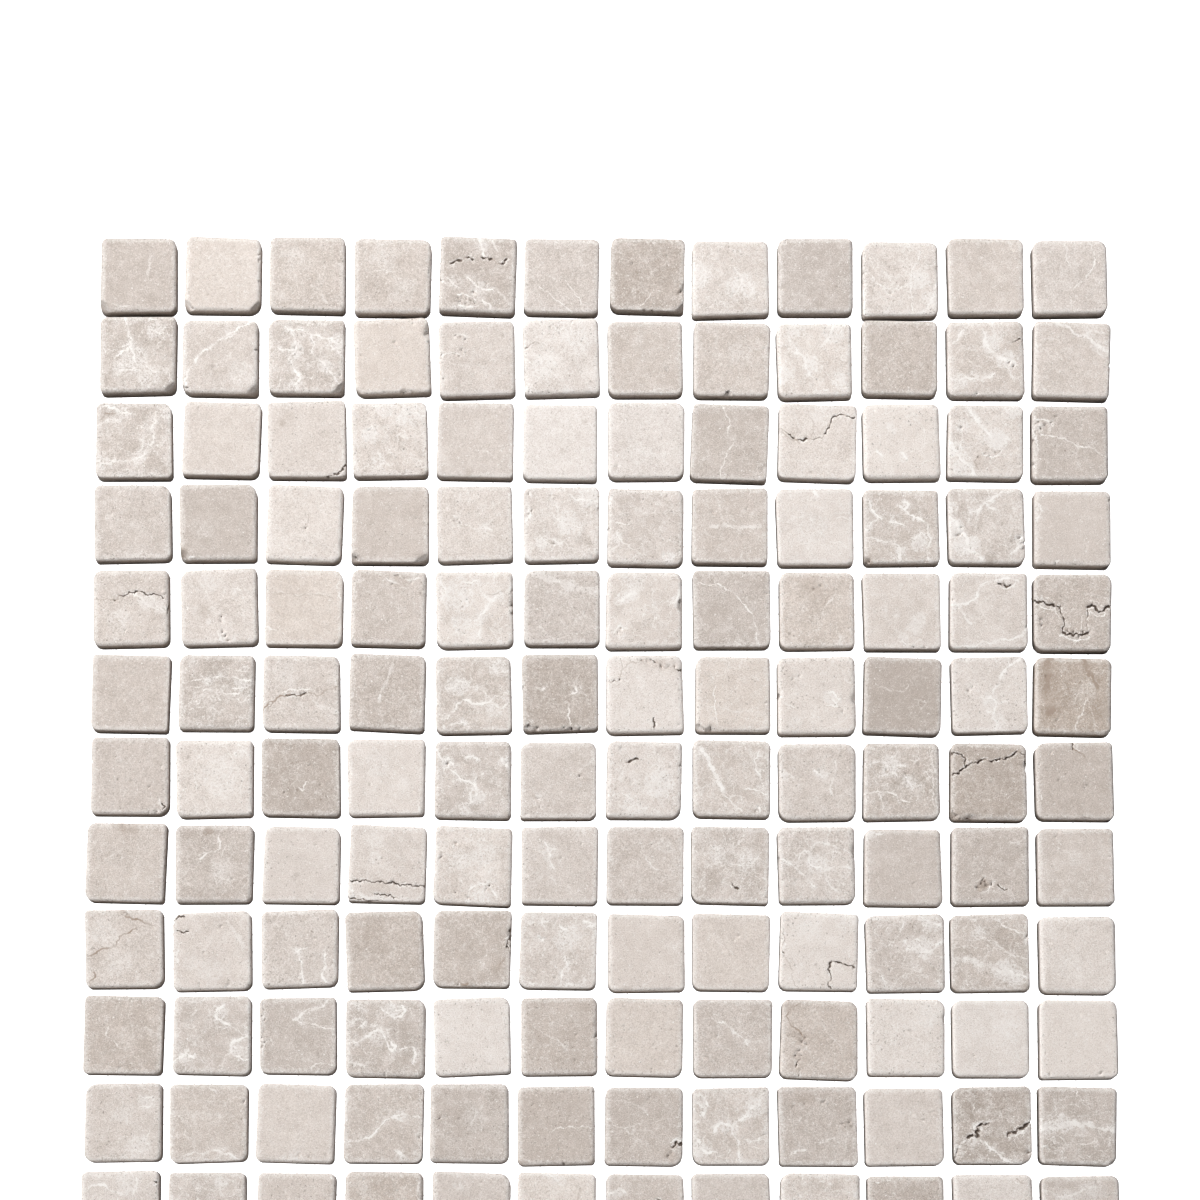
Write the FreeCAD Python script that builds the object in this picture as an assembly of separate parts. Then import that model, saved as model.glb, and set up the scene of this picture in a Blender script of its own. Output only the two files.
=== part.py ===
import FreeCAD, Part
import math
import os
import random
from FreeCAD import Vector

# A mosaic tile sheet: tumbled marble chips glued in rows to a glass-fibre backing mesh.
# Millimetres. The origin is the middle of the mesh's underside, +X runs along a row,
# +Y towards row 1 and +Z out of the stone face.

# Driving dimensions
CHIPS_IN_ROW = 12
ROWS = 12
CHIP_SIDE = 23.0          # side of the largest chip
SIDE_SCATTER = 0.5        # how much smaller the smallest chip is
CHIP_THICKNESS = 8.0
THICKNESS_SCATTER = 0.25  # how far a chip's thickness strays either way
JOINT = 2.4               # open joint between two chips of full side
LEAST_JOINT = 0.3         # clearance that the loosest pair still keeps
EDGE_WEAR = 0.6           # least radius that tumbling leaves along every edge
WEAR_SCATTER = 0.4        # how much rounder the most worn chip is
CORNER_WEAR = 0.15        # least further radius at an upright corner
CORNER_SCATTER = 1.3      # how much more the bluntest corner has lost

STRAND_PITCH = 5.08       # mesh strands, centre to centre
STRAND_WIDTH = 0.9
STRAND_THICKNESS = 0.35
MESH_TRIM = 0.4           # how far inside the outer chips' faces the mesh is cut
STRANDS_IN_PANEL = 15     # strands each way in one panel of the mesh

# Stray of a hand-set chip: its place, its outline and its turn share the slack of the joint
PLACE_PART = 4
OUTLINE_PART = 3
TURN_PART = 3

# Chips that lie otherwise than by chance: shares of the slack to the right, up and turned
HAND_SET = {
    (1, 1): (0.1, -0.6, 0.1),
    (1, 4): (0.0, -0.6, -0.1),
    (1, 8): (-0.1, -0.6, 0.1),
    (1, 10): (0.0, -0.6, -0.1),
    (2, 4): (0.1, 0.1, 0.6),
}

# Knocks: row, column, where on the outline (across and up, -1 to 1), how deep and how wide a ball
KNOCKS = [
    (1, 1, -1.0, -1.0, 2.4, 6.0),
    (1, 2, -1.0, -1.0, 2.3, 6.0),
    (1, 2, 1.0, -1.0, 2.1, 6.0),
    (1, 7, 1.0, -1.0, 2.0, 5.0),
    (1, 7, 1.0, -0.35, 1.0, 1.8),
    (2, 1, 1.0, -1.0, 2.3, 8.0),
    (2, 2, 1.0, -1.0, 2.2, 8.0),
    (2, 2, -1.0, -1.0, 1.8, 5.0),
    (2, 3, 1.0, -1.0, 2.0, 8.0),
    (2, 4, 1.0, 0.55, 1.0, 3.0),
    (2, 4, 0.3, -1.0, 1.0, 2.0),
    (2, 8, -0.09, -1.0, 1.4, 1.3),
    (4, 2, -1.0, -1.0, 2.9, 4.0),
    (4, 4, -0.8, -1.0, 1.3, 8.0),
    (4, 4, 0.85, -1.0, 1.2, 8.0),
    (4, 10, -1.0, -1.0, 2.0, 3.0),
    (5, 7, 1.0, 0.1, 1.3, 3.5),
    (6, 6, -0.65, -1.0, 0.8, 6.0),
    (6, 6, 0.25, -1.0, 0.9, 1.5),
    (6, 8, -0.85, -1.0, 1.2, 6.0),
    (6, 8, -0.45, -1.0, 0.9, 5.0),
    (6, 9, -1.0, 0.1, 1.0, 2.5),
    (6, 9, 1.0, -0.1, 1.0, 2.5),
    (7, 11, -1.0, -1.0, 2.0, 4.0),
    (7, 11, -0.35, -1.0, 1.0, 6.0),
    (8, 9, 1.0, 0.35, 1.0, 2.0),
    (10, 6, 1.0, 0.25, 0.8, 3.0),
]
SEED = 23
TINY = 1e-6

# Sizes that follow
PITCH = CHIP_SIDE + JOINT
STONE_WIDTH = CHIPS_IN_ROW * CHIP_SIDE + (CHIPS_IN_ROW - 1) * JOINT
STONE_DEPTH = ROWS * CHIP_SIDE + (ROWS - 1) * JOINT
SLACK = (JOINT - LEAST_JOINT) / 2
PARTS_OF_SLACK = PLACE_PART + OUTLINE_PART + TURN_PART
OUTLINE_STRAY = SLACK * OUTLINE_PART / PARTS_OF_SLACK


def stray(rng, limit):
    return rng.uniform(-limit, limit)


def rounded_outline(points, radii):
    """A closed wire through the points of a convex polygon, each corner an arc of its radius."""
    arcs = []
    for k, corner in enumerate(points):
        before = (points[k - 1] - corner).normalize()
        after = (points[(k + 1) % len(points)] - corner).normalize()
        half_angle = before.getAngle(after) / 2
        tangent = radii[k] / math.tan(half_angle)
        middle = (before + after).normalize()
        nearest = radii[k] / math.sin(half_angle) - radii[k]
        arcs.append((corner + before * tangent, corner + middle * nearest, corner + after * tangent))
    edges = []
    for k, (start, middle, end) in enumerate(arcs):
        edges.append(Part.Arc(start, middle, end).toShape())
        edges.append(Part.LineSegment(end, arcs[(k + 1) % len(arcs)][0]).toShape())
    return Part.Wire(edges)


def knock(chip, row, column, side, top):
    """The chip without the shallow scoops that knocks have taken out of its edges."""
    for at_row, at_column, across, up, depth, radius in KNOCKS:
        if (at_row, at_column) != (row, column):
            continue
        edge = Vector(across * side / 2, up * side / 2, top)
        aslant = (Vector(across, up, 0).normalize() + Vector(0, 0, 1)).normalize()
        chip = chip.cut(Part.makeSphere(radius, edge + aslant * (radius - depth)))
    return chip


def lie(row, column, rng):
    """How far a chip lies to the right of its place in the grid, above it, and turned in degrees."""
    by_chance = [stray(rng, part / PARTS_OF_SLACK) for part in (PLACE_PART, PLACE_PART, TURN_PART)]
    right, up, turn = HAND_SET.get((row, column), by_chance)
    return right * SLACK, up * SLACK, math.degrees(math.asin(turn * SLACK / (CHIP_SIDE / 2)))


def chip_at(row, column, rng):
    """One tumbled chip, standing on the mesh at its place in the grid."""
    side = CHIP_SIDE - rng.random() * SIDE_SCATTER
    height = CHIP_THICKNESS + stray(rng, THICKNESS_SCATTER)
    wear = EDGE_WEAR + rng.random() * WEAR_SCATTER
    corners = []
    radii = []
    for across, up in ((-1, -1), (1, -1), (1, 1), (-1, 1)):
        x = across * side / 2 + stray(rng, OUTLINE_STRAY)
        y = up * side / 2 + stray(rng, OUTLINE_STRAY)
        corners.append(Vector(x, y, 0))
        radii.append(wear + CORNER_WEAR + rng.random() ** 2 * CORNER_SCATTER)
    blank = Part.Face(rounded_outline(corners, radii)).extrude(Vector(0, 0, height))
    rims = [edge for edge in blank.Edges if edge.BoundBox.ZLength < height / 2]
    chip = knock(blank.makeFillet(wear, rims), row, column, side, height)
    right, up, turn = lie(row, column, rng)
    chip.rotate(Vector(0, 0, 0), Vector(0, 0, 1), turn)
    chip.translate(Vector(
        (column - (CHIPS_IN_ROW + 1) / 2) * PITCH + right,
        ((ROWS + 1) / 2 - row) * PITCH + up,
        STRAND_THICKNESS,
    ))
    return chip


def chip_rows():
    """The stone, a compound of separate chips for each row."""
    for row in range(1, ROWS + 1):
        rng = random.Random(SEED * 1000 + row)
        chips = [chip_at(row, column, rng) for column in range(1, CHIPS_IN_ROW + 1)]
        yield f"chip_row_{row:02d}", Part.makeCompound(chips)


def strand_lines(length):
    """Where the strands' middles lie across a mesh of this length, about its centre."""
    count = int((length - STRAND_WIDTH) / STRAND_PITCH) + 1
    return [(k - (count - 1) / 2) * STRAND_PITCH for k in range(count)]


def spans(lines, length):
    """The lines in groups for the panels, each with the ends of its panel."""
    for first in range(0, len(lines), STRANDS_IN_PANEL):
        group = lines[first:first + STRANDS_IN_PANEL]
        low = group[0] - STRAND_PITCH / 2 if first else -length / 2
        last = first + STRANDS_IN_PANEL >= len(lines)
        high = length / 2 if last else group[-1] + STRAND_PITCH / 2
        yield group, low, high


def polygon(points):
    return Part.makePolygon([Vector(x, y, 0) for x, y in points + points[:1]])


def strand_ends(lines, inner, outer):
    """One side of a panel as points along +X: out round the end of each strand and back in."""
    half = STRAND_WIDTH / 2
    points = []
    for line in lines:
        points += [(line - half, inner), (line - half, outer), (line + half, outer), (line + half, inner)]
    return points


def swapped(points):
    return [(y, x) for x, y in points]


def mesh_panel(columns, left, right, rows, near, far):
    """One panel of the mesh: strands each way, fused where they cross, open between them."""
    half = STRAND_WIDTH / 2
    south = strand_ends(columns, rows[0] - half, near)
    north = strand_ends(columns, rows[-1] + half, far)
    west = swapped(strand_ends(rows, columns[0] - half, left))
    east = swapped(strand_ends(rows, columns[-1] + half, right))
    outline = south + east + north[::-1] + west[::-1]
    distinct = [p for k, p in enumerate(outline) if math.dist(p, outline[k - 1]) > TINY]
    wires = [polygon(distinct)]
    for west_line, east_line in zip(columns, columns[1:]):
        for south_line, north_line in zip(rows, rows[1:]):
            x0, x1 = west_line + half, east_line - half
            y0, y1 = south_line + half, north_line - half
            wires.append(polygon([(x0, y0), (x0, y1), (x1, y1), (x1, y0)]))
    return Part.Face(wires).extrude(Vector(0, 0, STRAND_THICKNESS))


def mesh_panels():
    """The backing mesh, in panels that meet face to face between two strands."""
    width = STONE_WIDTH - 2 * MESH_TRIM
    depth = STONE_DEPTH - 2 * MESH_TRIM
    number = 0
    for rows, near, far in spans(strand_lines(depth), depth):
        for columns, left, right in spans(strand_lines(width), width):
            number += 1
            yield f"backing_mesh_{number:02d}", mesh_panel(columns, left, right, rows, near, far)


def main():
    os.makedirs("parts", exist_ok=True)
    for name, shape in list(mesh_panels()) + list(chip_rows()):
        shape.exportStep(f"parts/{name}.step")


main()
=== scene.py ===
import math

import bpy
import numpy as np
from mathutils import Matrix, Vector
from mathutils.bvhtree import BVHTree
from mathutils.geometry import convex_hull_2d, delaunay_2d_cdt


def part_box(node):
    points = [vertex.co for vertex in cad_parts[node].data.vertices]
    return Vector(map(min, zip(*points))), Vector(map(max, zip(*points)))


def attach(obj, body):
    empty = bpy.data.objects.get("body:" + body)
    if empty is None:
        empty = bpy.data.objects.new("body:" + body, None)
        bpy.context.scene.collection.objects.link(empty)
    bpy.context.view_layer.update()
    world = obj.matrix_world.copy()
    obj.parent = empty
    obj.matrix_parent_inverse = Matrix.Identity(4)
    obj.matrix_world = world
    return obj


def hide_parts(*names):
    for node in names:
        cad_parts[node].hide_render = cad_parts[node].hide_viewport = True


# Tumbled marble chips on a backing net, seen from above on a white floor.
# Lengths are metres unless a name says otherwise; MM turns millimetres into metres.

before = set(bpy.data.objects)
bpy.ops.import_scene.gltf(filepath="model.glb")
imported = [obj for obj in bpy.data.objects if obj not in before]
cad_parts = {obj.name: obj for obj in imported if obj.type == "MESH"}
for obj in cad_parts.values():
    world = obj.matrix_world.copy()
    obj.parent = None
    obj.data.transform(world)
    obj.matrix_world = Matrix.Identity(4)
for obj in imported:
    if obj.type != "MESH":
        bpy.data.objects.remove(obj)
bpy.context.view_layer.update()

MM = 0.001
SEED = 61

# The sheet as the CAD has it
CHIPS_IN_ROW = 12
ROWS = 12
PITCH = 25.4 * MM
STRAND_PITCH = 5.08 * MM
STRAND_WIDTH = 0.9 * MM
STRAND_THICKNESS = 0.35 * MM

# How closely the chips' surfaces are divided
OUTLINE_STEP = 0.64 * MM
FACE_STEP = 0.92 * MM
LINE_STEP = 0.42 * MM
MARK_CELL = 0.17 * MM       # of a mark's points, one is kept in each square of this size
MARK_FROM_RIM = 0.13 * MM
FACE_FROM_RIM = 0.34 * MM
FACE_FROM_MARK = 0.36 * MM
OUTLINE_GAP = 0.12 * MM     # least gap between two of the outline's further places
OUTLINE_CLEAR = 0.3 * MM    # least gap from them to the others
HALF_CHORD = 0.6 * MM       # how far to either side the outline's direction is measured
CORNER_POINTS = 8
TOP_ROUNDING = [k * math.pi / 8 for k in range(5)]      # how far round the edge each ring is
SIDE_RINGS = [0.5 * MM, 1.1 * MM, 2.1 * MM, 3.8 * MM]
BOTTOM_ROUNDING = [math.pi / 4, math.pi / 2]

# Where points lie across the marks, in shares of a line's width or a pit's radius
ACROSS_CRACK = (-1.5, -.9, -.4, 0, .4, .9, 1.5)
ACROSS_PIT = (-1, -.5, 0, .5, 1)
BESIDE_CRACK = (0, -.6, .6, -1.1, 1.1, -1.9, 1.9)
BESIDE_THREAD = (0, -.65, .65, -1.3, 1.3)
ROUND_PIT = ((.55, 6), (1.0, 8))    # shares, and how many points lie round the pit there

# How the chips are worn
TOP_EDGE = 0.78             # radii of the edges in shares of the CAD's
BASE_EDGE = 0.3
KNOCK_REACH = 5.5 * MM      # how far in and down from the top's edge a knock can reach
SNAP_FROM = 0.1 * MM        # a point there that is further than this from the CAD chip is set on it
DEEPEST = 1.15 * MM         # the most that marks and wear sink a point
CORNER_LOSS = 0.1           # what the corners' radii gain on the CAD, in millimetres: the least,
CORNER_SPREAD = 1.3         # and how much more the bluntest corner gains

# The marks
AT_RIM = 0.92               # a line that ends beyond this share of the half side runs out over the rim,
RUN_OUT = 2.5 * MM          # and is carried on so far
LARGE_PIT = 0.3 * MM        # pits from this radius on show in the outline
NEAR_RIM = 1.2 * MM         # where they are no further than this from it
ROUGHNESS = {"vein": .17, "hair": .18, "crack": .27}
SOFT_KINDS = ("patch", "shade", "stain")

# Yarns of the net
YARN_SIDES = 4
WEFT_SWAY = 0.03            # millimetres

# The grain's places: how far apart two chips' can be, and how strongly a noise bends them, in millimetres
GRAIN_SHIFT = (613.0, 377.0, 191.0)
GRAIN_BEND = 6.5

# Colours
WHITE = (1, 1, 1, 1)
STONE_TONES = [
    (0.0, (.358, .3, .255, 1)), (.27, (.486, .42, .374, 1)), (.5, (.645, .572, .524, 1)),
    (.68, (.771, .7, .65, 1)), (1.0, (.926, .88, .846, 1)),
]
LEVEL_REACH = 2.4           # the level of the palest tone; the darkest one's is as far below zero
WARM_TINT = (1.0, .95, .885, 1)
COOL_TINT = (.985, 1.0, 1.02, 1)
PATCH_WHITE = (.87, .835, .805, 1)
THREAD_WHITE = (.89, .86, .83, 1)
CURL_WHITE = (.93, .9, .87, 1)
VEIN_WHITE = (.92, .885, .85, 1)
FROST_WHITE = (.93, .905, .88, 1)
SPECK_WHITE = (.95, .93, .91, 1)
CLEFT_BROWN = (.36, .3, .25, 1)
POINT_BROWN = (.25, .2, .165, 1)
HAIR_BROWN = (.36, .275, .215, 1)
CRACK_BROWN = (.15, .115, .09, 1)
# Painted shade, multiplied into the chips' sides towards their foot
JOINT_SHADE_TINT = (.55, .52, .49, 1)
GLUE_WHITE = (.80, .79, .76, 1)
GLASS_GREY = (.80, .80, .78, 1)
GLASS_WHITE = (.96, .96, .95, 1)
RESIN = (.93, .92, .87, 1)

# Lights by name: place, width and power
LIGHTS = {
    "key": ((-1.95, 1.12, 2.68), 1.9, 92),
    "far": ((0, .95, .7), .6, 6.4),
    "left": ((-2.4, 0, 1.2), 1.6, 24),
    "right": ((2.4, 0, 1.2), 1.6, 4),
    "front": ((0, -2.4, 1.2), 1.6, 8),
}
SKY_STRENGTH = .065
FLOOR_REACH = 6
FLOOR_HEIGHT = -.0004

# The camera, fitted to the chips of the photograph
CAMERA_LENS = 148.6
CAMERA_PLACE = (-.01447, -.19745, 1.45902)
CAMERA_TURN = (.162759, -.009928, .003567)


# Marks on the chips. Each place is across and up the chip's face as seen in the photograph,
# from -1 to 1; widths and radii are millimetres.

def vein(*at, width=0.34, strength=1.0):
    """A white line of calcite."""
    return "vein", at, width, strength


def hair(*at, width=0.3, strength=1.0):
    """A brown or grey line, closed."""
    return "hair", at, width, strength


def crack(*at, width=0.34, depth=0.55, broken=0.0):
    """An open dark line; broken is the share of its length that has closed up."""
    return "crack", at, width, depth, broken


def pits(*at, radius=0.42, depth=0.45):
    return "pits", at, radius, depth


def patch(u, v, radius, strength=1.0):
    """A soft pale place, in shares of the chip's half side."""
    return "patch", (u, v), radius, strength


def shade(u, v, radius, strength=1.0):
    """A soft dark place: grey in the stone, and at a few notches painted shade."""
    return "shade", (u, v), radius, strength


def stain(u, v, radius, strength=1.0):
    """A brown place."""
    return "stain", (u, v), radius, strength


MARKS = {
    (1, 1): [
        vein((.3, .5), (.28, .2), (.24, -.05), width=.5, strength=.4),
        pits((-.5, -.85), (.95, -.1), radius=.3), vein((-.7, -.8), (-.3, -.85), strength=.4),
    ],
    (1, 2): [
        pits((-.93, -.8), (-.8, -.93), (.95, -.2), (.96, .35), (.95, .5)), patch(.2, .1, 1, .3),
        vein((-.5, .5), (-.37, .38), (-.25, .55), width=.3, strength=.5),
        hair((-.2, -.45), (0, -.38), (.12, -.5), strength=.3),
    ],
    (1, 3): [
        vein((.1, -.3), (.4, -.45), (.55, -.8), strength=.35), patch(-.35, .4, .35, .4),
        pits((-.95, 0), radius=.3),
    ],
    (1, 4): [
        vein((-.45, .12), (-.2, .15), (.05, .1), width=.28, strength=.8),
        hair((.1, .35), (.4, .42), (.65, .3), (.95, .34), width=.7, strength=.25), patch(-.2, .6, .5, .4),
        patch(.3, -.4, .4, .3), pits((.95, .12), radius=.4),
    ],
    (1, 5): [
        crack((-.7, .28), (-.56, .36), (-.4, .39), (-.14, .38), broken=.2, width=.26),
        crack((.1, .44), (.3, .38), (.55, .28), (.68, .3), (.73, .4), broken=.3, width=.26),
        pits((-.5, -.6), (-.4, -.55), (-.28, -.64), (-.17, -.68), (-.3, -.76), (-.08, -.74), (-.44, -.7),
             (-.35, -.86), (.22, -.22), (.28, -.3), radius=.3),
        pits((-.11, -.46), radius=.5, depth=.6), pits((-1, .1), (-1, -.14), radius=.6, depth=.7),
        vein((-.52, -.52), (-.25, -.55), (-.05, -.66), width=.3),
        vein((-.45, -.8), (-.2, -.84), (.02, -.8), width=.35), patch(.1, .75, .2, 1.2),
        vein((.02, .95), (.15, .5), width=.6), vein((.35, .9), (.5, .6), strength=.8),
        vein((-.75, -.1), (-.43, -.37), strength=.8), vein((-.26, -.08), (.05, -.33), (.4, -.4)),
        patch(.05, -.35, .28, 1), vein((.12, -.65), (.4, -.98), width=.45),
        vein((.5, -.4), (.75, -.7), strength=.6), patch(-.6, -.2, .25, .5),
    ],
    (1, 6): [
        vein((-.6, -.28), (-.25, -.55), (.08, -.82), (.29, -1), width=.24, strength=.9),
        vein((.08, -.1), (.33, -.41), (.5, -.77), width=.24, strength=.8),
    ],
    (1, 7): [
        # The shade at the right edge is painted shade in the notch there.
        vein((.13, -.48), (-.05, -.75), (-.23, -.97), width=.22, strength=.6), shade(.9, -.5, .12, 2.2),
        pits((.88, -.47), radius=.6, depth=.7), pits((-.1, -1), (.1, -1), radius=.5),
        pits((.95, -.75), radius=.4), pits((.5, .5), (-.4, .3), radius=.25),
        vein((-.3, .6), (0, .3), width=.24, strength=.25),
    ],
    (1, 8): [
        patch(-.85, .05, .35, .8), vein((-.9, .5), (-.65, .2), (-.7, -.2), width=.5, strength=.5),
        patch(.25, -.2, .4, .6),
        vein((.08, .3), (.22, .12), (.3, -.08), (.15, -.35), width=.35, strength=.8),
        pits((.2, 0), (.05, -.4), radius=.28), vein((.35, .15), (.5, -.2), strength=.6),
    ],
    (1, 9): [pits((-.93, .86), (-.78, .93), (-.95, .15), (-.96, .6), radius=.36), patch(.15, 0, .22, .4)],
    (1, 10): [
        vein((.47, .85), (.44, .42), (.28, .08), (.25, -.3), (.3, -.65), (.34, -.97), width=.24, strength=1),
        patch(.5, 0, .26, 1.3), patch(.35, -.1, .16, .9),
        vein((-.92, .23), (-.64, -.12), (-.3, -.26), (.18, -.17), width=.24, strength=.9),
        vein((-.88, -.12), (-.96, -.48), (-.93, -.88), width=.4, strength=1),
        vein((.95, -.1), (.8, -.5), (.58, -.88), width=.4, strength=.8), patch(.75, -.55, .22, .9),
        pits((-.98, .15), (-.97, -.1), (-.93, -.95), radius=.5, depth=.6),
    ],
    (1, 11): [pits((.95, .3), radius=.3)],
    (1, 12): [
        vein((-.14, .85), (-.1, .58), (0, .3), width=.28, strength=.8), pits((-.92, 0), radius=.4),
        vein((.46, .98), (.62, .67), (.64, .32), (.38, -.12), (.1, -.3), width=.3, strength=.85),
        vein((0, -.6), (.03, -.8), width=.3, strength=.6),
        vein((-.3, -.1), (0, -.3), width=.24, strength=.4),
    ],

    (2, 1): [
        vein((-.4, 1), (-.28, .65), (-.16, .35), (-.2, .18), width=.4, strength=1),
        vein((-.2, .18), (-.44, .05), (-.6, -.08), (-.56, -.38), width=.45, strength=.9),
        vein((-.2, .18), (-.08, -.12), (0, -.3), strength=.9), vein((-.16, .35), (-.4, .2), strength=.7),
        vein((-.4, -.42), (-.1, -.35), (.4, -.4), strength=.6), patch(-.2, .25, .14, 1),
        patch(.4, .6, .25, .7), patch(-.2, -.2, .5, .4), vein((.3, .65), (.6, .55), strength=.6),
        patch(.3, -.6, .4, .4),
    ],
    (2, 2): [
        vein((-.9, -.85), (-.83, -.38), (-.59, -.03), (-.22, .31), (.02, .48), (.26, .66), (.66, .87),
             (.85, .97), width=.4),
        vein((.1, .48), (.3, .55), (.4, .7), width=.3, strength=.8), patch(.22, .64, .12, 1),
        patch(.6, -.45, .45, .5), pits((-.9, -.85), (-.8, -.93), (-.95, -.7), (.97, .2), radius=.4),
    ],
    (2, 3): [
        patch(-.25, .18, .24, 1.3), pits((-.3, .22), (-.15, .15), radius=.22),
        vein((-.55, .8), (-.2, .72), (.1, .6), (.4, .5), (.85, .35), width=.4, strength=1),
        vein((.1, .56), (.2, .3), (.15, .1), (.35, -.1), (.49, -.25), strength=.8),
        vein((-.25, .2), (-.6, .15), (-.92, .25), strength=.8),
        vein((-.25, .2), (-.3, .5), (-.45, .7), strength=.7),
        vein((-.25, .2), (-.45, -.1), (-.3, -.35), strength=.7),
        vein((-.3, -.35), (-.15, -.6), (-.3, -.83), width=.5), patch(.49, -.25, .2, 1.2),
        patch(-.25, -.75, .18, 1), vein((.6, .4), (.85, .1), strength=.7),
        vein((.5, -.3), (.75, -.6), (.9, -.8), strength=.7), pits((.95, -.35), (.9, -.5), radius=.4),
        patch(.75, .4, .25, .7),
    ],
    (2, 4): [
        pits((.9, .6), radius=.75, depth=.6), vein((.9, .7), (.97, .45), width=.4, strength=.8),
        pits((.96, .35), (.97, .2), (.3, -.95), (.5, -.93), (-.2, -.95), radius=.45),
        stain(-.8, -.45, .4, .25),
    ],
    (2, 5): [
        pits((-.93, -.02), (-.9, .1), (-.56, .1), (-.45, .05), (-.3, .15), (-.4, .22), (-.56, .6),
             (-.43, .57), (-.3, .5), radius=.3),
        vein((-.95, .1), (-.6, .15), (-.35, .05), (-.2, .25), strength=.7),
        vein((-.6, .65), (-.4, .62), (-.2, .55), strength=.6),
        vein((.55, .25), (.35, -.05), width=.24, strength=.5),
        vein((.6, .3), (.8, .1), width=.24, strength=.3),
    ],
    (2, 6): [
        pits((-.2, .83), (-.28, .75), (.27, .9), radius=.32), vein((-.3, .85), (-.15, .72), width=.4),
        crack((-1, .22), (-.8, .3), (-.55, .33), broken=.5, width=.22, depth=.4), patch(-.5, -.3, .4, .5),
        vein((-.5, -.2), (0, .1), (.5, 0), strength=.5), patch(.4, .4, .4, .4),
        pits((-.8, -.93), (-.3, -.95), radius=.34),
    ],
    (2, 7): [patch(-.2, .5, .25, .4)],
    (2, 8): [
        pits((-.1, -.9), (-.06, -.97), radius=.6, depth=.8), patch(.2, .1, .35, .4),
        vein((-.4, .7), (-.42, .3), width=.5, strength=.3),
    ],
    (2, 9): [
        vein((-.72, .82), (-.55, .43), (-.25, .05), (-.12, -.4), width=.5, strength=.9),
        patch(-.08, -.15, .18, 1), vein((-.25, .1), (.05, .05), (.05, -.3), width=.4, strength=.7),
        vein((.15, .35), (.3, .5), (.5, .9), width=.6, strength=.9), patch(.5, .75, .35, .8),
        patch(-.8, -.4, .3, .8), patch(.65, -.5, .22, .9), patch(-.5, .8, .2, .7),
        vein((.35, -.4), (.6, -.75), (.85, -.7), strength=.6), vein((-.9, .2), (-.5, .4), strength=.6),
    ],
    (2, 10): [pits((.95, -.9), radius=.4), patch(-.9, .3, .2, .4)],
    (2, 11): [
        patch(.1, .35, .22, 1), patch(.55, -.05, .28, 1.3),
        vein((-.05, .7), (.08, .25), (.4, 0), (.78, -.1), width=.8), shade(.25, .25, .1, 1),
        crack((.76, .46), (.85, .53), (.95, .5), width=.3, depth=.6), patch(-.7, -.6, .25, .8),
        vein((-.85, .4), (-.65, .7), (-.4, .9), width=.5, strength=.9),
        vein((-.7, -.6), (-.3, -.52), (.2, -.4), width=.5, strength=.9),
        pits((-.25, -.93), (.7, -.2), (.6, -.1), radius=.4), vein((.5, -.2), (.7, -.5), strength=.8),
        patch(.4, .6, .25, .4), hair((-.1, .1), (.1, -.1), (.05, -.3), strength=.3),
    ],
    (2, 12): [
        vein((-.4, .95), (.05, .66), (.5, .5), (.95, .18), strength=.9, width=.55),
        patch(.72, .38, .22, .9), vein((.3, .5), (.5, .75), (.8, .7), strength=.7),
        patch(.45, .75, .18, .7), vein((.6, .4), (.8, .05), strength=.8),
        vein((-.95, -.6), (-.7, -.8), width=.4, strength=.7), pits((.95, -.15), radius=.3),
        shade(-.3, .55, .2, .4),
    ],

    (3, 1): [
        vein((.55, .75), (.45, .3), (.48, -.05), (.3, -.3), (.05, -.48), (-.3, -.56), (-.85, -.62),
             width=.5, strength=.8),
        hair((-.85, .56), (-.75, .72), (-.5, .7), width=.3, strength=.7),
        vein((-.9, .9), (-.5, .85), (-.1, .7), width=.5, strength=.9),
        vein((-.9, .4), (-.7, .55), (-.4, .5), strength=.7), patch(-.3, .75, .18, .7),
        patch(.12, -.45, .22, 1), vein((.2, .2), (.12, -.3), strength=.6), patch(-.8, -.6, .2, .7),
        patch(.8, .7, .2, .6),
    ],
    (3, 2): [shade(.1, -.5, .5, .2)],
    (3, 3): [
        stain(-.62, .4, .12, .8), crack((.7, -.93), (.86, -.86), (.95, -.72), width=.3, depth=.45),
        hair((-.5, .7), (-.6, .3), width=.4, strength=.3), stain(-.5, .5, .25, .25),
        vein((.8, -.2), (.9, -.5), strength=.5),
    ],
    (3, 4): [
        patch(-.5, .1, .28, 1), patch(-.1, .9, .35, .7), patch(.5, .6, .35, .8), shade(-.15, .42, .14, .8),
        shade(.05, .2, .14, .9), shade(.2, -.02, .14, .9), shade(.32, -.25, .12, .8),
        shade(-.35, .6, .12, .6), vein((-.3, -.3), (0, -.7), width=.5, strength=.5),
        pits((.4, -.9), radius=.3), stain(.85, -.92, .14, .6), patch(-.3, -.6, .3, .5),
    ],
    (3, 5): [
        stain(-.15, -.88, .12, 1), vein((.2, -.3), (.6, -.5), strength=.35),
        vein((-.1, -.97), (.1, -.95), strength=.8),
    ],
    (3, 6): [
        stain(.65, .55, .08, .8), stain(.5, .12, .07, .5), stain(.05, -.25, .08, .7),
        stain(-.1, .55, .06, .4), hair((0, -.7), (.1, -.85), width=.2, strength=.4),
    ],
    (3, 7): [
        hair((.1, .3), (.6, .7), width=.3, strength=.2), vein((-.1, -.3), (.5, -.6), strength=.5),
        patch(-.2, -.4, .4, .4), vein((0, .2), (.4, .5), width=.24, strength=.5),
    ],
    (3, 8): [
        vein((-.18, .98), (-.1, .7), (0, .42), (-.05, .15), width=.28, strength=.9),
        vein((.05, -.1), (-.12, -.4), (-.22, -.65), (-.2, -.97), width=.26, strength=.85),
        vein((.1, .15), (.05, -.1), width=.24, strength=.5),
        vein((.5, .5), (.3, .1), (.4, -.4), width=.22, strength=.3),
    ],
    (3, 9): [
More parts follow.
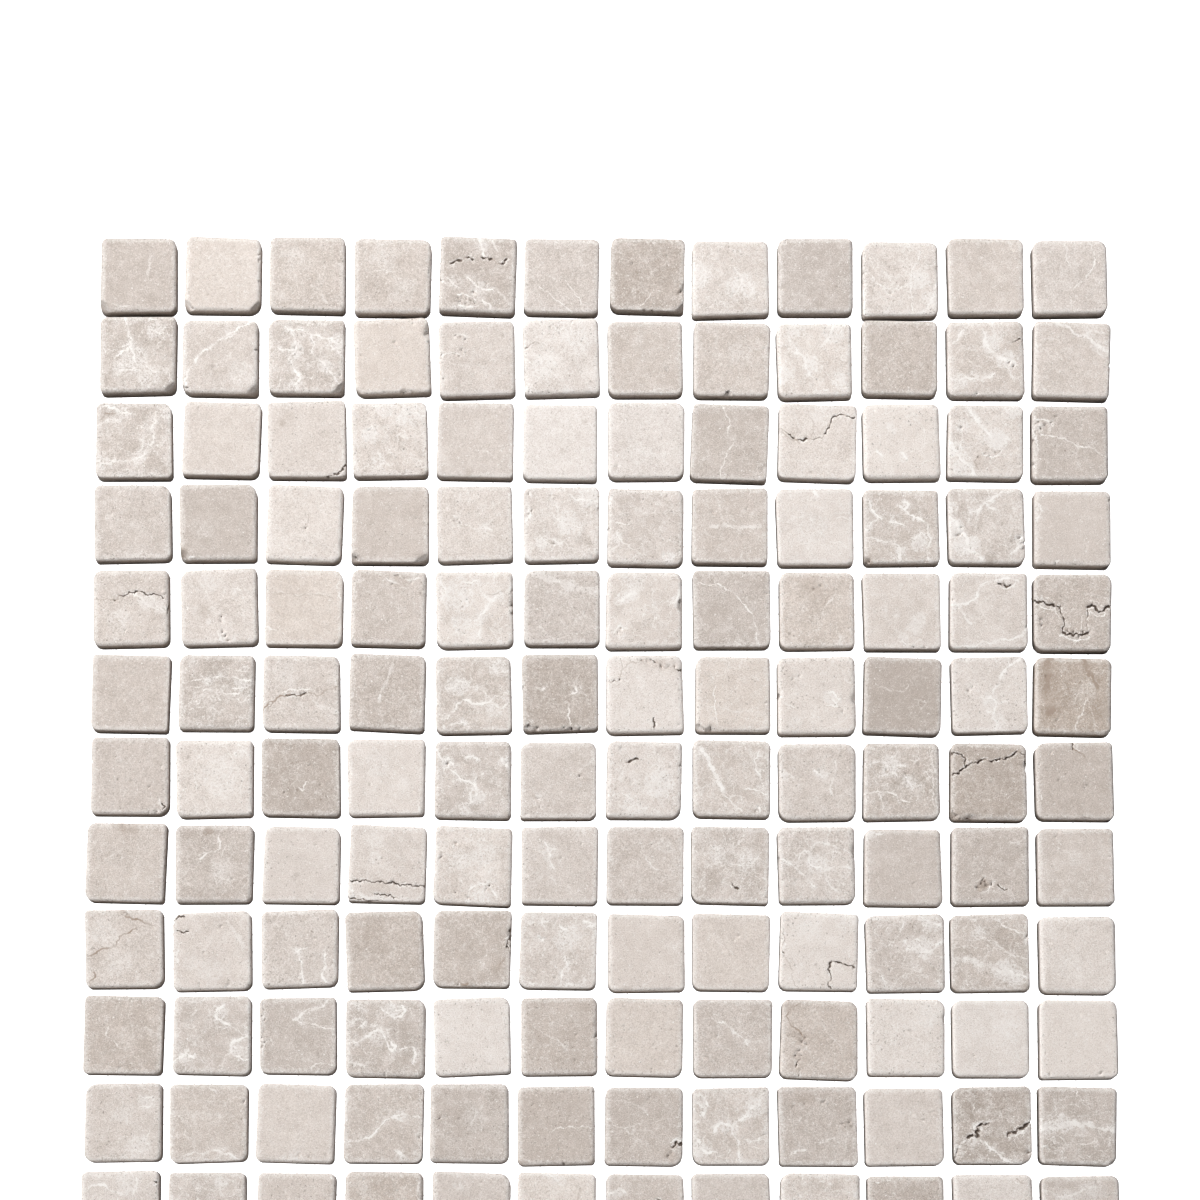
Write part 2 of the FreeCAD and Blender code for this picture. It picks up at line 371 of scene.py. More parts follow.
        crack((-1, .35), (-.84, .29), (-.66, .12), (-.5, .05), (-.35, .02), (-.18, .08), (-.02, .09),
              (.16, .2), (.3, .44), (.42, .66), (.55, .72), (.75, .67), (.97, .66), width=.18, depth=.5,
              broken=.3),
        hair((-.15, .6), (-.12, .35), (-.15, .13), width=.26, strength=.7),
        hair((-.95, .25), (-.7, .08), (-.45, -.06), width=.4, strength=.6), stain(-.7, .15, .14, .4),
        patch(.1, .75, .35, .5), shade(.65, -.25, .4, .4), pits((-.15, -.8), radius=.24),
    ],
    (3, 10): [
        patch(-.3, .42, .1, 1.4), patch(-.2, .28, .07, 1.2), patch(-.85, .4, .08, 1),
        vein((-.65, -.25), (-.5, -.4), width=.4), vein((0, -.3), (.15, -.5), width=.4),
        patch(.05, -.4, .12, 1), vein((.3, .6), (.6, .2), (.5, -.2), strength=.4),
        vein((-.5, .7), (-.2, .8), width=.26, strength=.6),
        vein((.5, -.6), (.8, -.5), width=.3, strength=.6),
    ],
    (3, 11): [
        patch(.27, .08, .29, 1.8), vein((-.42, .9), (-.1, .42), (.15, .15), width=.8, strength=.9),
        patch(-.25, .6, .15, .8),
        pits((-.02, -.34), (.1, -.38), (.25, -.3), (.38, -.26), (-.2, -.42), (-.63, .38), radius=.26),
        vein((-.1, -.3), (.15, -.44), (.42, -.22), width=.3),
        hair((-.15, -.4), (-.3, -.55), (-.2, -.75), width=.3, strength=.6), stain(-.15, -.5, .2, .4),
        patch(-.8, -.25, .25, .9), patch(-.6, -.7, .3, .9),
        vein((-.95, 0), (-.7, -.4), (-.3, -.9), width=.6, strength=.9), patch(.7, .85, .28, .8),
        patch(-.6, .4, .2, .6),
    ],
    (3, 12): [
        pits((-.93, .48), (-.82, .56), (-.66, .47), (-.5, .54), (-.9, .3), (-.76, .38), (-.6, .3),
             radius=.32),
        pits((-.98, .08), (-.98, -.55), radius=.6, depth=.6),
        vein((-.9, .62), (-.6, .6), (-.45, .45), width=.35, strength=.9),
        vein((-.75, .22), (-.4, .18), (.08, 0), (.55, -.12), (.95, -.35), width=.28, strength=.95),
        patch(-.8, .4, .15, .8), hair((-.7, .95), (-.5, .8), width=.3, strength=.6),
        vein((-.95, .2), (-.9, -.3), width=.4, strength=.7),
    ],

    (4, 1): [vein((-.8, -.85), (0, -.9), (.7, -.85), width=.5, strength=.3)],
    (4, 2): [
        patch(-.4, -.2, .35, .4), pits((-.9, -.85), radius=.6, depth=.6), stain(-.9, -.78, .16, 1.2),
        shade(-.9, -.78, .14, 1.2), vein((-.75, -.95), (-.6, -.9), width=.4),
    ],
    (4, 3): [
        pits((.03, -.12), radius=.42, depth=.6), hair((.03, -.05), (.1, .2), width=.2, strength=.6),
        vein((.03, -.3), (.1, -.5), strength=.4),
    ],
    (4, 4): [pits((-.9, -.9), radius=1.0, depth=.5)],
    (4, 5): [
        pits((-.44, .1), (-.4, .02), radius=.28), vein((-.55, .2), (-.4, .1), (-.35, -.05), width=.4),
        vein((-.25, -.02), (.15, -.1), (.42, -.15), width=.4),
        vein((.15, -.1), (.5, .15), (.62, .28), strength=.8), patch(.25, -.1, .13, 1),
        vein((.45, .5), (.75, .7), (.95, .75), width=.5, strength=.7),
        vein((.1, -.2), (-.1, -.4), strength=.5), patch(-.2, .7, .3, .4),
    ],
    (4, 6): [
        pits((-.85, .8), (-.9, .35), (-.76, .35), (-.82, .25), (.97, .4), radius=.32),
        vein((-.9, .5), (-.8, .22), (-.92, 0), width=.45), vein((-.85, .88), (-.78, .72), width=.35),
        patch(.2, 0, .35, .7), vein((-.3, .3), (.1, 0), (.5, -.1), strength=.7), patch(.7, .78, .28, .9),
        vein((.2, .8), (.6, .62), (.95, .6), width=.4),
        vein((-.4, -.3), (-.1, -.5), (.1, -.45), strength=.7), patch(-.5, -.5, .2, .7),
        pits((-.2, -.55), radius=.26),
    ],
    (4, 7): [
        vein((-.75, .1), (-.4, .07), width=.28, strength=.9), patch(-.72, -.3, .14, 1.1),
        vein((-.97, .6), (-.85, .82), strength=.8),
        vein((-.75, -.2), (-.55, -.45), (-.3, -.6), (0, -.75), width=.3, strength=.8),
        pits((-.98, -.05), radius=.45), patch(.6, -.8, .2, .7), vein((.5, -.9), (.8, -.75), strength=.6),
    ],
    (4, 8): [
        vein((-.52, -.02), (-.25, -.03), (0, -.02), (.4, -.04), (.8, -.02), width=.7, strength=.6),
        pits((-.45, .33), radius=.26),
        vein((-.45, 0), (-.1, -.04), (.3, -.02), (.7, -.05), width=.3, strength=.6),
        pits((-.9, -.9), radius=.34),
    ],
    (4, 9): [
        vein((.55, .22), (.97, .18), width=.22, strength=.6),
        vein((.55, .35), (.9, .33), width=.22, strength=.5), vein((0, .92), (.08, .78), width=.5),
        patch(-.1, -.1, .5, .5), vein((-.7, .1), (-.3, .3), (0, .05), strength=.4),
        vein((.4, -.4), (.9, -.6), width=.26, strength=.5),
    ],
    (4, 10): [
        vein((-.12, .58), (.08, .45), (.2, .62), (.05, .66), width=.4),
        vein((.08, .45), (.45, .25), (.7, .08), width=.45),
        vein((.7, .08), (.75, -.3), (.7, -.9), width=.35, strength=.8),
        vein((-.85, .72), (-.6, .25), (-.3, .1), (.05, .03), width=.32),
        vein((-.6, .25), (-.8, .1), (-.9, -.1), strength=.8), vein((-.3, .1), (-.2, .3), strength=.6),
        patch(.45, -.45, .22, 1.1), patch(0, -.65, .17, 1.3),
        vein((.25, -.3), (.5, -.15), (.65, -.3), strength=.8),
        vein((-.9, -.3), (-.5, -.4), (-.15, -.38), strength=.7),
        vein((-.1, -.5), (-.05, -.9), width=.4, strength=.8), pits((-.9, -.97), radius=.9, depth=.7),
        stain(-.9, -.95, .14, 1), pits((.9, -.9), (.6, -.93), radius=.3),
    ],
    (4, 11): [
        patch(-.8, -.1, .25, 1.1), patch(-.55, -.5, .3, 1.2), patch(.85, -.4, .2, 1.1),
        vein((-.9, .2), (-.7, -.1), (-.5, -.5), width=.6), pits((-.73, -.25), radius=.5, depth=.7),
        pits((.82, -.32), (.95, -.6), (.97, -.45), radius=.6, depth=.7),
        pits((-.3, -.75), (-.5, -.35), (-.65, -.05), (-.4, -.6), radius=.28),
        vein((-.6, -.6), (-.3, -.7), (-.1, -.9), width=.5, strength=.9), shade(.08, -.85, .16, 1.8),
        stain(.08, -.88, .14, .6), vein((.6, -.75), (.8, -.6), (.9, -.3), width=.45, strength=.9),
        vein((-.4, .35), (-.05, .6), (.15, .7), (.4, .9), width=.45),
        vein((-.05, .6), (.2, .45), strength=.8), vein((-.1, .55), (-.25, .2), width=.3, strength=.8),
        vein((.15, .7), (.05, .95), width=.3, strength=.7), patch(-.9, .5, .15, .8),
    ],
    (4, 12): [
        pits((-.45, -.93), radius=.5), vein((-.88, .65), (-.8, .45), (-.92, .2), width=.34, strength=.8),
        vein((-.9, .8), (-.7, .9), strength=.6), patch(-.8, .5, .14, .5), pits((.95, .8), radius=.4),
    ],

    (5, 1): [
        crack((-1, .23), (-.8, .18), (-.59, .21), (-.43, .17), (-.31, .33), (-.07, .42), (.06, .39),
              (.18, .44), (.34, .39), (.54, .35), (.75, .33), (.99, .1), width=.15, depth=.45, broken=.25),
        patch(.4, .15, .26, 1.2), patch(.78, 0, .2, .9),
        vein((.12, .33), (.4, .05), (.95, -.02), width=.5, strength=.9),
        vein((-.15, .1), (-.15, -.5), width=.22, strength=.5), pits((-.15, -.58), radius=.28),
        patch(-.3, -.3, .4, .4), hair((.5, -.3), (.52, -.75), width=.2, strength=.4),
    ],
    (5, 2): [
        pits((.06, -.26), (.05, -.38), radius=.34, depth=.6),
        pits((.1, -.66), (.17, -.76), (.24, -.86), radius=.5, depth=.7),
        vein((-.02, -.62), (.05, -.85), width=.4, strength=.9), patch(-.58, -.05, .06, 1.6),
        patch(-.27, -.36, .07, 1.6), patch(.43, -.77, .05, 1.6), patch(.42, .42, .09, 1.2),
        patch(-.25, .6, .25, .6), stain(-.45, -.1, .3, .4), shade(.97, .35, .12, 1.6),
        pits((-.95, -.9), radius=.4), vein((.3, .45), (.55, .42), width=.3, strength=.8),
    ],
    (5, 3): [
        hair((-.9, .35), (-.6, .32), (-.3, .36), (.1, .3), (.4, .32), (.75, .22), width=.3, strength=.4),
        pits((-.95, .5), radius=.4),
        vein((-.85, .38), (-.3, .3), (.2, .36), (.7, .26), width=.26, strength=.5), stain(-.3, .35, .5, .2),
        vein((.85, .6), (.97, .2), width=.4, strength=.8),
        vein((0, -.15), (.17, .3), width=.22, strength=.5),
        vein((-.95, -.5), (-.72, -.6), width=.35, strength=.7), pits((.8, -.9), radius=.28),
    ],
    (5, 4): [
        pits((-.2, .8), (0, .75), (.1, .6), (.3, .55), (.42, .76), (.6, .65), (.75, .8), (.2, .82),
             radius=.24),
        vein((-.25, .86), (0, .7), (.3, .6), width=.35, strength=.9),
        vein((.3, .82), (.6, .72), (.85, .75), width=.35, strength=.9),
        vein((.1, .5), (.45, .5), width=.3, strength=.7), stain(.3, .65, .35, .35),
        vein((-.3, 0), (0, -.5), width=.24, strength=.3),
    ],
    (5, 5): [
        vein((-.35, .7), (.05, .76), (.2, .45), (.3, .34), width=.45),
        vein((.25, .36), (.45, .22), (.7, .4), (.95, .62), width=.6),
        vein((.42, .22), (.12, -.15), (.14, -.53), (-.05, -.9), width=.55), patch(-.5, .4, .5, .7),
        patch(.12, -.3, .14, .8), hair((.3, .4), (.55, .42), (.85, .6), width=.24, strength=.6),
        patch(-.3, -.4, .3, .6), patch(.6, .35, .16, .9),
        vein((-.9, .85), (-.75, .5), (-.85, .2), width=.5, strength=.8),
        pits((.97, .12), (.97, -.1), (.96, .5), radius=.45, depth=.6),
        vein((.3, -.4), (.6, -.8), width=.26, strength=.5),
    ],
    (5, 6): [
        vein((-.8, .95), (-.3, .75), (.1, .6), (.45, .48), (.95, .42), width=1.3, strength=.5),
        vein((-.45, .82), (0, .62), (.4, .55), (.9, .38), width=.3, strength=.8),
        vein((-.7, .55), (-.2, .45), (.2, .3), width=.4, strength=.4), patch(.2, .55, .2, .5),
        patch(.8, .4, .16, .5), vein((-.6, -.5), (-.2, -.85), width=.5, strength=.5),
    ],
    (5, 7): [
        vein((-.62, .25), (-.35, .42), (-.05, .58), width=1.1, strength=.9), patch(-.35, .4, .2, 1.1),
        patch(-.6, .28, .16, .9), pits((-.6, -.48), (-.68, -.6), radius=.34),
        vein((-.78, -.62), (-.62, -.4), (-.45, -.5), width=.38),
        # The shade and the stain at the right edge are painted shade in the hollow of the knock there.
        vein((.68, .16), (.86, .3), (.95, .5), width=.6), shade(1, .06, .15, 2.4), stain(1, .05, .1, .4),
        pits((.94, .2), radius=.4), vein((.25, .5), (.3, 0), width=.4, strength=.6), patch(.8, .22, .14, 1),
        patch(-.3, .8, .3, .5), vein((.2, .1), (.5, -.3), (.4, -.7), strength=.4),
    ],
    (5, 8): [
        vein((-.97, .62), (-.7, .64), (-.4, .65), (-.2, .58), (-.02, .45), (.15, .3), (.32, .12),
             (.46, -.08), (.56, -.35), (.64, -.6), (.7, -.95), width=.22, strength=.9),
        pits((.9, .4), (.93, .25), radius=.28),
    ],
    (5, 9): [
        stain(-.15, .62, .4, .45), hair((-.6, .6), (-.3, .75), (0, .7), strength=.3),
        pits((-.3, .7), (-.1, .55), (.1, .65), radius=.2),
        vein((.5, .8), (.48, .45), (.2, .1), (.15, -.25), width=.3, strength=.5),
        hair((.46, .8), (.44, .45), (.17, .1), width=.2, strength=.5),
        vein((.9, .75), (.85, .5), (.93, .3), width=.3, strength=.8),
        vein((.5, -.6), (.7, -.75), strength=.4),
    ],
    (5, 10): [
        patch(.45, -.22, .2, 1.2), patch(.28, -.45, .2, 1.2), patch(.05, -.68, .15, 1),
        patch(-.03, .7, .06, 1.7), patch(-.15, -.1, .06, 1.7), patch(-.4, .02, .05, 1.6),
        patch(-.72, .42, .07, 1.4), patch(.9, .1, .1, 1), pits((.58, -.97), (.3, -.95), radius=.4),
        vein((-.1, -.8), (.3, -.88), (.5, -.75), width=.4, strength=.7),
    ],
    (5, 11): [
        vein((-.95, .15), (-.75, .17), (-.5, .22), (-.3, .4), (-.15, .68), (.1, .8), (.4, .85), (.75, .8),
             width=.42),
        vein((.2, .78), (.3, .62), (.55, .6), (.68, .72), width=.3, strength=.9),
        crack((.24, .72), (.36, .67), (.56, .68), width=.3, depth=.7),
        pits((.42, .69), (.34, .7), radius=.36, depth=.7),
        vein((-.75, .17), (-.6, -.2), (-.45, -.35), width=.4, strength=.8),
        vein((1, -.4), (.8, -.65), (.5, -.76), (.1, -.84), (-.3, -.88), (-.7, -.93), width=.45, strength=.9),
        pits((-.93, .28), (-.8, .08), radius=.34), patch(.4, .85, .18, .9), patch(-.85, .15, .14, .9),
        pits((.97, -.4), radius=.4),
    ],
    (5, 12): [
        crack((-1, .3), (-.85, .26), (-.75, .27), (-.65, .18), (-.52, .19), (-.4, .14), width=.27, depth=.7,
              broken=.1),
        crack((-.4, .14), (-.33, 0), (-.26, -.15), (-.22, -.3), (-.28, -.45), width=.17, depth=.45,
              broken=.3),
        crack((-.28, -.53), (-.2, -.6), (-.1, -.55), (0, -.62), (.1, -.56), (.2, -.6), (.36, -.55),
              width=.25, depth=.7, broken=.1),
        crack((.34, -.45), (.3, -.2), (.36, .05), width=.15, depth=.4, broken=.55),
        crack((.36, .14), (.48, .2), (.57, .15), (.64, 0), (.75, .02), (.85, .13), (1, .15), width=.26,
              depth=.7, broken=.1),
        pits((0, -.52), (.14, -.64), (-.14, -.5), (-.72, .24), (-.5, .15), (.46, .17), (.66, 0),
             (.24, -.52), radius=.36, depth=.7),
        pits((-.85, -.22), (-.8, -.35), radius=.28),
        vein((-.95, .2), (-.66, .07), (-.46, .03), (-.38, -.12), width=.3, strength=.9),
        vein((-.34, -.62), (-.05, -.72), (.2, -.7), (.42, -.64), width=.32, strength=1),
        vein((.44, .04), (.6, -.12), (.8, -.06), width=.3),
        vein((.2, -.4), (.24, -.1), width=.26, strength=.8),
        vein((-.8, .36), (-.5, .28), width=.26, strength=.8),
        vein((.42, .3), (.62, .27), (.78, .14), width=.26, strength=.8), shade(0, -.55, .2, .5),
    ],

    (6, 2): [
        vein((-.9, .25), (-.5, .32), (-.2, .36), width=.3),
        vein((-.3, .3), (.1, .46), (.5, .4), (.95, .3), width=.36),
        vein((.2, .14), (.6, .1), (.95, .2), width=.36),
        vein((-.6, -.05), (-.2, .06), (.2, -.05), (.6, -.04), strength=.9),
        vein((-.9, -.4), (-.6, -.45), (-.2, -.4), (0, -.5), width=.3, strength=.8),
        vein((.4, -.6), (.8, -.7), strength=.5), vein((-.8, .1), (-.4, .14), width=.3, strength=.7),
        vein((.3, .62), (.8, .55), strength=.6), patch(-.2, .32, .16, .6), patch(.7, .2, .2, .7),
    ],
    (6, 3): [
        hair((-.96, -.42), (-.84, -.25), (-.55, -.08), (-.19, -.06), (-.05, -.07), (.18, 0), (.38, -.08),
             (.67, .08), (.95, .2), width=.28, strength=.95),
        crack((-.4, -.06), (-.25, -.05), (-.12, -.09), (.05, -.03), (.12, 0), width=.17, depth=.5,
              broken=.2),
        hair((-.88, -.5), (-.75, -.3), (-.6, -.12), width=.24, strength=.6),
        pits((-.15, -.05), (0, -.05), radius=.36, depth=.6),
        vein((-.5, 0), (-.1, .06), (.2, .1), width=.3, strength=.8),
        vein((.3, -.2), (.6, -.4), (.9, -.5), width=.8, strength=.4), patch(-.4, .5, .4, .4),
        patch(0, -.4, .3, .3),
    ],
    (6, 4): [
        vein((.17, .92), (.07, .55), (-.05, .17), (-.2, -.25), width=.42, strength=.65),
        pits((.4, -.9), radius=.3), vein((.12, .8), (0, .35), (-.1, .05), width=.24, strength=.6),
        vein((-.3, .1), (-.4, -.2), width=.24, strength=.4),
    ],
    (6, 5): [
        patch(-.45, .2, .32, .8), patch(.62, .7, .22, .8),
        vein((-.78, -.65), (-.3, -.15), (.3, -.2), (.5, -.1), width=.45, strength=.9),
        vein((-.68, -.85), (-.45, -.72), (-.2, -.76), width=.42, strength=.9),
        pits((-.3, -.82), (-.45, -.9), radius=.3),
        vein((-.7, .1), (-.4, .35), (-.1, .3), width=.4, strength=.8),
        vein((.3, .75), (.6, .6), (.9, .65), width=.4, strength=.7), patch(.5, -.4, .25, .6),
        vein((.3, -.2), (.7, -.35), (.9, -.2), strength=.7),
    ],
    (6, 6): [
        pits((.3, -.93), (.5, -.95), (.1, -.9), radius=.45, depth=.6),
        pits((-.97, .15), radius=.6, depth=.6), pits((-.8, -.85), (-.6, -.93), radius=.8, depth=.6),
        vein((-.62, .15), (-.48, .05), (-.4, .1), width=.4, strength=.9),
        vein((.22, .2), (.4, .16), (.42, 0), (.28, -.05), width=.35, strength=.9),
        pits((.32, .08), radius=.28), vein((.18, -.2), (.2, -.6), (.3, -.95), width=.26, strength=.8),
        vein((-.1, -.3), (.15, -.25), strength=.4),
    ],
    (6, 7): [
        crack((-1, .29), (-.85, .3), (-.67, .34), (-.62, .6), (-.64, .91), width=.15, depth=.4, broken=.6),
        crack((-.14, .83), (.17, .86), (.39, .71), (.7, .72), (1, .66), width=.17, depth=.5, broken=.5),
        hair((-.6, .6), (-.4, .8), (-.14, .83), strength=.5), stain(.4, .75, .22, .5),
        stain(.75, .7, .2, .45), stain(0, .85, .2, .4),
        pits((-.1, .85), (.05, .82), (.15, .88), (.25, .8), (.6, .7), radius=.28),
        pits((.4, .72), (-.65, .36), (.75, .72), radius=.42, depth=.5),
        crack((.22, -.6), (.24, -.72), (.22, -.85), width=.18, depth=.3),
    ],
    (6, 8): [
        vein((-.47, .18), (-.47, -.2), (-.4, -.82), width=.28, strength=.9),
        vein((-.8, -.28), (-.05, -.45), (.95, -.7), width=.22, strength=.5),
        vein((-.65, .45), (-.15, .68), (.35, .8), width=.22, strength=.5),
        vein((-.2, .6), (-.1, .3), width=.22, strength=.3),
        pits((-.8, -.93), (-.6, -.95), (-.9, -.85), radius=.5), stain(.6, .8, .3, .2),
    ],
    (6, 9): [
        pits((-1, 0), (1, -.15), radius=.65, depth=.6), patch(.35, -.05, .2, 1),
        vein((.18, .05), (.4, .1), (.56, -.1), width=.35),
        vein((.2, -.25), (.5, -.3), (.4, -.12), width=.3, strength=.9), pits((-.62, .4), radius=.26),
        patch(-.55, -.7, .2, .7), vein((-.9, -.2), (-.6, -.3), width=.3, strength=.6),
        vein((.7, .45), (.85, .3), width=.26, strength=.6),
    ],
    (6, 10): [
        vein((-.6, .2), (-.3, .1), (.05, .12), (.15, .27), width=.26, strength=.55),
        vein((.28, -.1), (.6, -.18), (.45, -.35), width=.28, strength=.6),
        vein((.4, -.12), (.35, -.28), width=.26, strength=.5),
        vein((-.3, -.4), (0, -.6), width=.22, strength=.35),
    ],
    (6, 11): [
        vein((.85, .95), (.53, .77), (.4, .6), (.28, .39), (.12, .14), (-.04, -.1), width=.42),
        patch(.5, .75, .1, .9),
        vein((-.15, -.1), (.08, -.12), (.18, -.3), (.1, -.48), (-.05, -.45), width=.38, strength=.9),
        vein((.1, -.2), (.5, -.15), strength=.6), pits((-.55, .1), radius=.28), patch(0, -.15, .22, 1),
        patch(.22, -.62, .2, .9), vein((.05, -.5), (.2, -.7), (.15, -.9), width=.4, strength=.8),
        vein((-.4, -.1), (-.15, -.12), width=.3, strength=.6),
    ],
    (6, 12): [
        hair((-.55, 1), (-.62, .5), (-.55, 0), (-.6, -.4), width=2, strength=.8), stain(-.6, .8, .25, .8),
        stain(-.65, .4, .28, .9), stain(-.6, 0, .28, .75), stain(-.6, -.4, .26, .6),
        hair((.24, 1), (.34, .75), (.5, .5), (.64, .2), width=1.1, strength=.85), stain(.33, .85, .18, .8),
        stain(.6, .4, .16, .7), stain(.7, -.35, .3, .6),
        hair((-.1, .8), (-.05, -.2), (-.1, -.8), width=1.2, strength=.2),
        vein((.1, -.95), (.12, -.55), (.28, -.2), (.36, -.08), width=.3, strength=.7),
        vein((.36, -.1), (.5, -.5), (.66, -.9), width=.24, strength=.45), patch(.35, .1, .3, .3),
    ],

    (7, 1): [
        pits((.5, -.95), (.7, -.93), radius=.4),
        crack((.83, -.72), (.92, -.8), (.85, -.9), width=.2, depth=.4),
        vein((.75, -.6), (.85, -.8), width=.35, strength=.8),
        pits((-.3, -.1), (.5, -.3), (-.98, .35), radius=.26), patch(-.2, .4, .3, .3),
    ],
    (7, 2): [
        shade(-.78, 0, .3, .6), shade(-.72, .6, .22, .5), patch(.15, 0, .6, .6), patch(.75, .7, .14, .9),
        vein((-.28, .9), (-.45, .5), (-.5, 0), (-.4, -.4), (-.1, -.8), width=.24, strength=.7),
        vein((.3, .8), (.55, .45), (.75, 0), (.7, -.5), width=.26, strength=.6),
        vein((.5, .65), (.7, .74), (.85, .6), width=.4), vein((.6, .9), (.8, .8), width=.35, strength=.8),
    ],
    (7, 3): [
        pits((.2, .3), (-.4, -.4), (.5, -.2), radius=.24),
        vein((.14, -.12), (.05, -.36), (-.02, -.3), width=.28, strength=.9), shade(0, .3, .5, .2),
    ],
    (7, 4): [patch(-.2, .4, .4, .4), patch(.4, -.3, .4, .3), pits((-.97, .1), radius=.35)],
    (7, 5): [
        pits((-.65, .4), radius=.44, depth=.6), vein((-.78, .5), (-.62, .55), (-.52, .4), width=.4),
        vein((-.95, .75), (-.75, .5), width=.4, strength=.9),
        vein((-.62, .28), (-.3, 0), (0, -.1), (.1, -.4), width=.42),
        vein((0, -.1), (.12, .1), (.28, .16), width=.3, strength=.8),
        vein((-.3, 0), (-.55, -.05), strength=.6), vein((-.02, -.12), (-.05, -.6), strength=.8),
        patch(.1, -.45, .2, 1), vein((-.22, .52), (0, .6), (.12, .52), width=.5),
        vein((.68, .62), (.9, .35), width=.5, strength=.9), patch(-.7, .4, .14, .9), patch(.8, .5, .16, .7),
        patch(-.2, -.8, .2, .5), stain(.85, -.9, .14, .5),
    ],
    (7, 6): [
        pits((.55, .12), radius=.42, depth=.6), pits((-.55, -.48), radius=.3),
        vein((.58, .4), (.75, .42), (.92, .55), width=.4, strength=.7), patch(-.52, -.42, .09, 1.2),
        vein((.5, .22), (.62, .3), width=.35, strength=.7),
    ],
    (7, 7): [
        crack((-.45, .43), (-.38, .46), (-.28, .5), (-.16, .52), width=.26, depth=.5),
        patch(.4, -.15, .4, 1), vein((-.15, .53), (.2, .58), width=.24, strength=.4),
        vein((-.9, -.5), (-.5, -.4), (-.2, -.6), width=.4, strength=.7),
        vein((-.5, -.8), (0, -.75), (.4, -.85), width=.35, strength=.7),
        vein((.05, .15), (.02, -.15), (.2, -.45), width=.26, strength=.5), patch(-.3, -.7, .3, .6),
        pits((.97, .35), radius=.4),
    ],
    (7, 8): [
        vein((-.83, .84), (-.7, .62), (-.59, .42), (-.48, .22), (-.38, .03), (-.28, -.2), (-.2, -.42),
             width=.8, strength=1),
        vein((.72, .72), (.58, .5), (.6, .25), (.75, -.05), width=.34, strength=.9),
        vein((.28, -.28), (.5, -.28), (.75, -.36), (1, -.5), width=.3),
        vein((-.25, -.4), (0, -.65), (.25, -.85), width=.3, strength=.8),
        vein((.6, -.68), (.72, -.85), width=.4, strength=.9), pits((.68, -.75), (.6, -.85), radius=.28),
        vein((.3, .9), (.35, .7), width=.26, strength=.5), vein((.75, -.05), (.8, -.3), strength=.6),
    ],
    (7, 9): [
        patch(.1, .2, .2, 1.1), vein((-.08, .3), (.12, .14), (.32, .22), width=.4),
        vein((.45, .55), (.5, .35), (.38, .05), (.42, -.45), width=.45, strength=.7),
        patch(-.85, .15, .15, 1), vein((-.95, .22), (-.6, .1), width=.4, strength=.8),
        patch(-.8, -.6, .15, .7), pits((.05, .28), radius=.24),
    ],
    (7, 10): [
        vein((-.93, -.32), (-.72, -.27), (-.52, -.28), (-.3, -.3), (-.1, -.4), (.22, -.53), width=.3,
             strength=.9),
        vein((.8, .9), (.78, .45), (.8, 0), (.78, -.45), (.8, -.85), width=.26, strength=.7),
        vein((-.5, -.3), (-.5, -.8), width=.3, strength=.6),
        vein((-.8, .45), (-.5, .5), (-.2, .35), (.1, .4), width=.4, strength=.8),
        vein((-.6, .1), (-.3, .25), (-.1, .1), width=.35, strength=.8),
        vein((.1, .1), (.3, -.15), (.5, -.1), width=.35, strength=.7), patch(-.3, .35, .3, .7),
        patch(.2, 0, .25, .6), vein((-.3, .6), (-.1, .75), strength=.6),
        pits((-.4, .3), (.1, .2), radius=.26),
    ],
    (7, 11): [
        crack((-.98, .16), (-.85, .2), (-.77, .2), (-.58, .39), (-.4, .48), (-.2, .55), (.03, .52),
              (.3, .6), (.58, .65), (.7, .76), (.85, .72), (.95, .68), (1, .3), width=.22, depth=.8,
              broken=.15),
        crack((-1, .75), (-.85, .73), (-.7, .7), (-.6, .6), (-.62, .4), width=.16, depth=.6, broken=.3),
        pits((-.9, -.9), (-.75, -.95), (-.55, -.97), (-.95, -.75), radius=.6, depth=.5),
        stain(-.85, -.9, .25, .8),
    ],
    (7, 12): [
        crack((-.02, .97), (-.06, .88), (-.04, .78), width=.2, depth=.5),
        hair((-.02, .8), (.1, .72), (.26, .6), width=.34, strength=1),
        pits((.28, -.1), (.25, -.18), radius=.24),
        vein((.08, .95), (.02, .82), (.14, .76), width=.3, strength=.8),
        vein((-.95, -.1), (-.85, -.5), width=.3, strength=.5), pits((.25, -.95), radius=.34),
    ],

    (8, 1): [stain(-.1, .95, .22, 1), stain(.15, .93, .2, .7), pits((-.1, .96), (.05, .97), radius=.45)],
    (8, 2): [
        stain(-.15, .85, .16, .9), shade(-.15, .85, .18, 1), stain(-.3, -.9, .2, .4),
        stain(.3, -.93, .2, .3),
        vein((.12, .75), (.15, .55), (.14, .38), (-.1, .3), (-.38, .22), width=.24, strength=.8),
        patch(.2, -.2, .4, .4), vein((-.15, .3), (-.35, .12), width=.3, strength=.8),
        vein((.3, .5), (.2, .2), width=.22, strength=.4),
    ],
    (8, 3): [
        shade(-.15, -.32, .13, .9), vein((-.3, .5), (0, .4), (.2, .5), width=.24, strength=.35),
        vein((.1, .1), (.2, -.1), width=.22, strength=.3),
    ],
    (8, 4): [
        crack((-.97, -.44), (-.8, -.45), (-.62, -.43), (-.45, -.46), (-.27, -.47), (-.1, -.47), (.07, -.5),
              (.25, -.53), (.42, -.54), (.6, -.54), (.78, -.58), (.97, -.6), width=.19, depth=.8,
              broken=.05),
        crack((-1, -.85), (-.8, -.9), (-.6, -.9), (-.45, -.97), width=.2, depth=.5, broken=.2),
        crack((-.4, -.75), (-.15, -.82), (.1, -.8), (.3, -.9), width=.16, depth=.4, broken=.5),
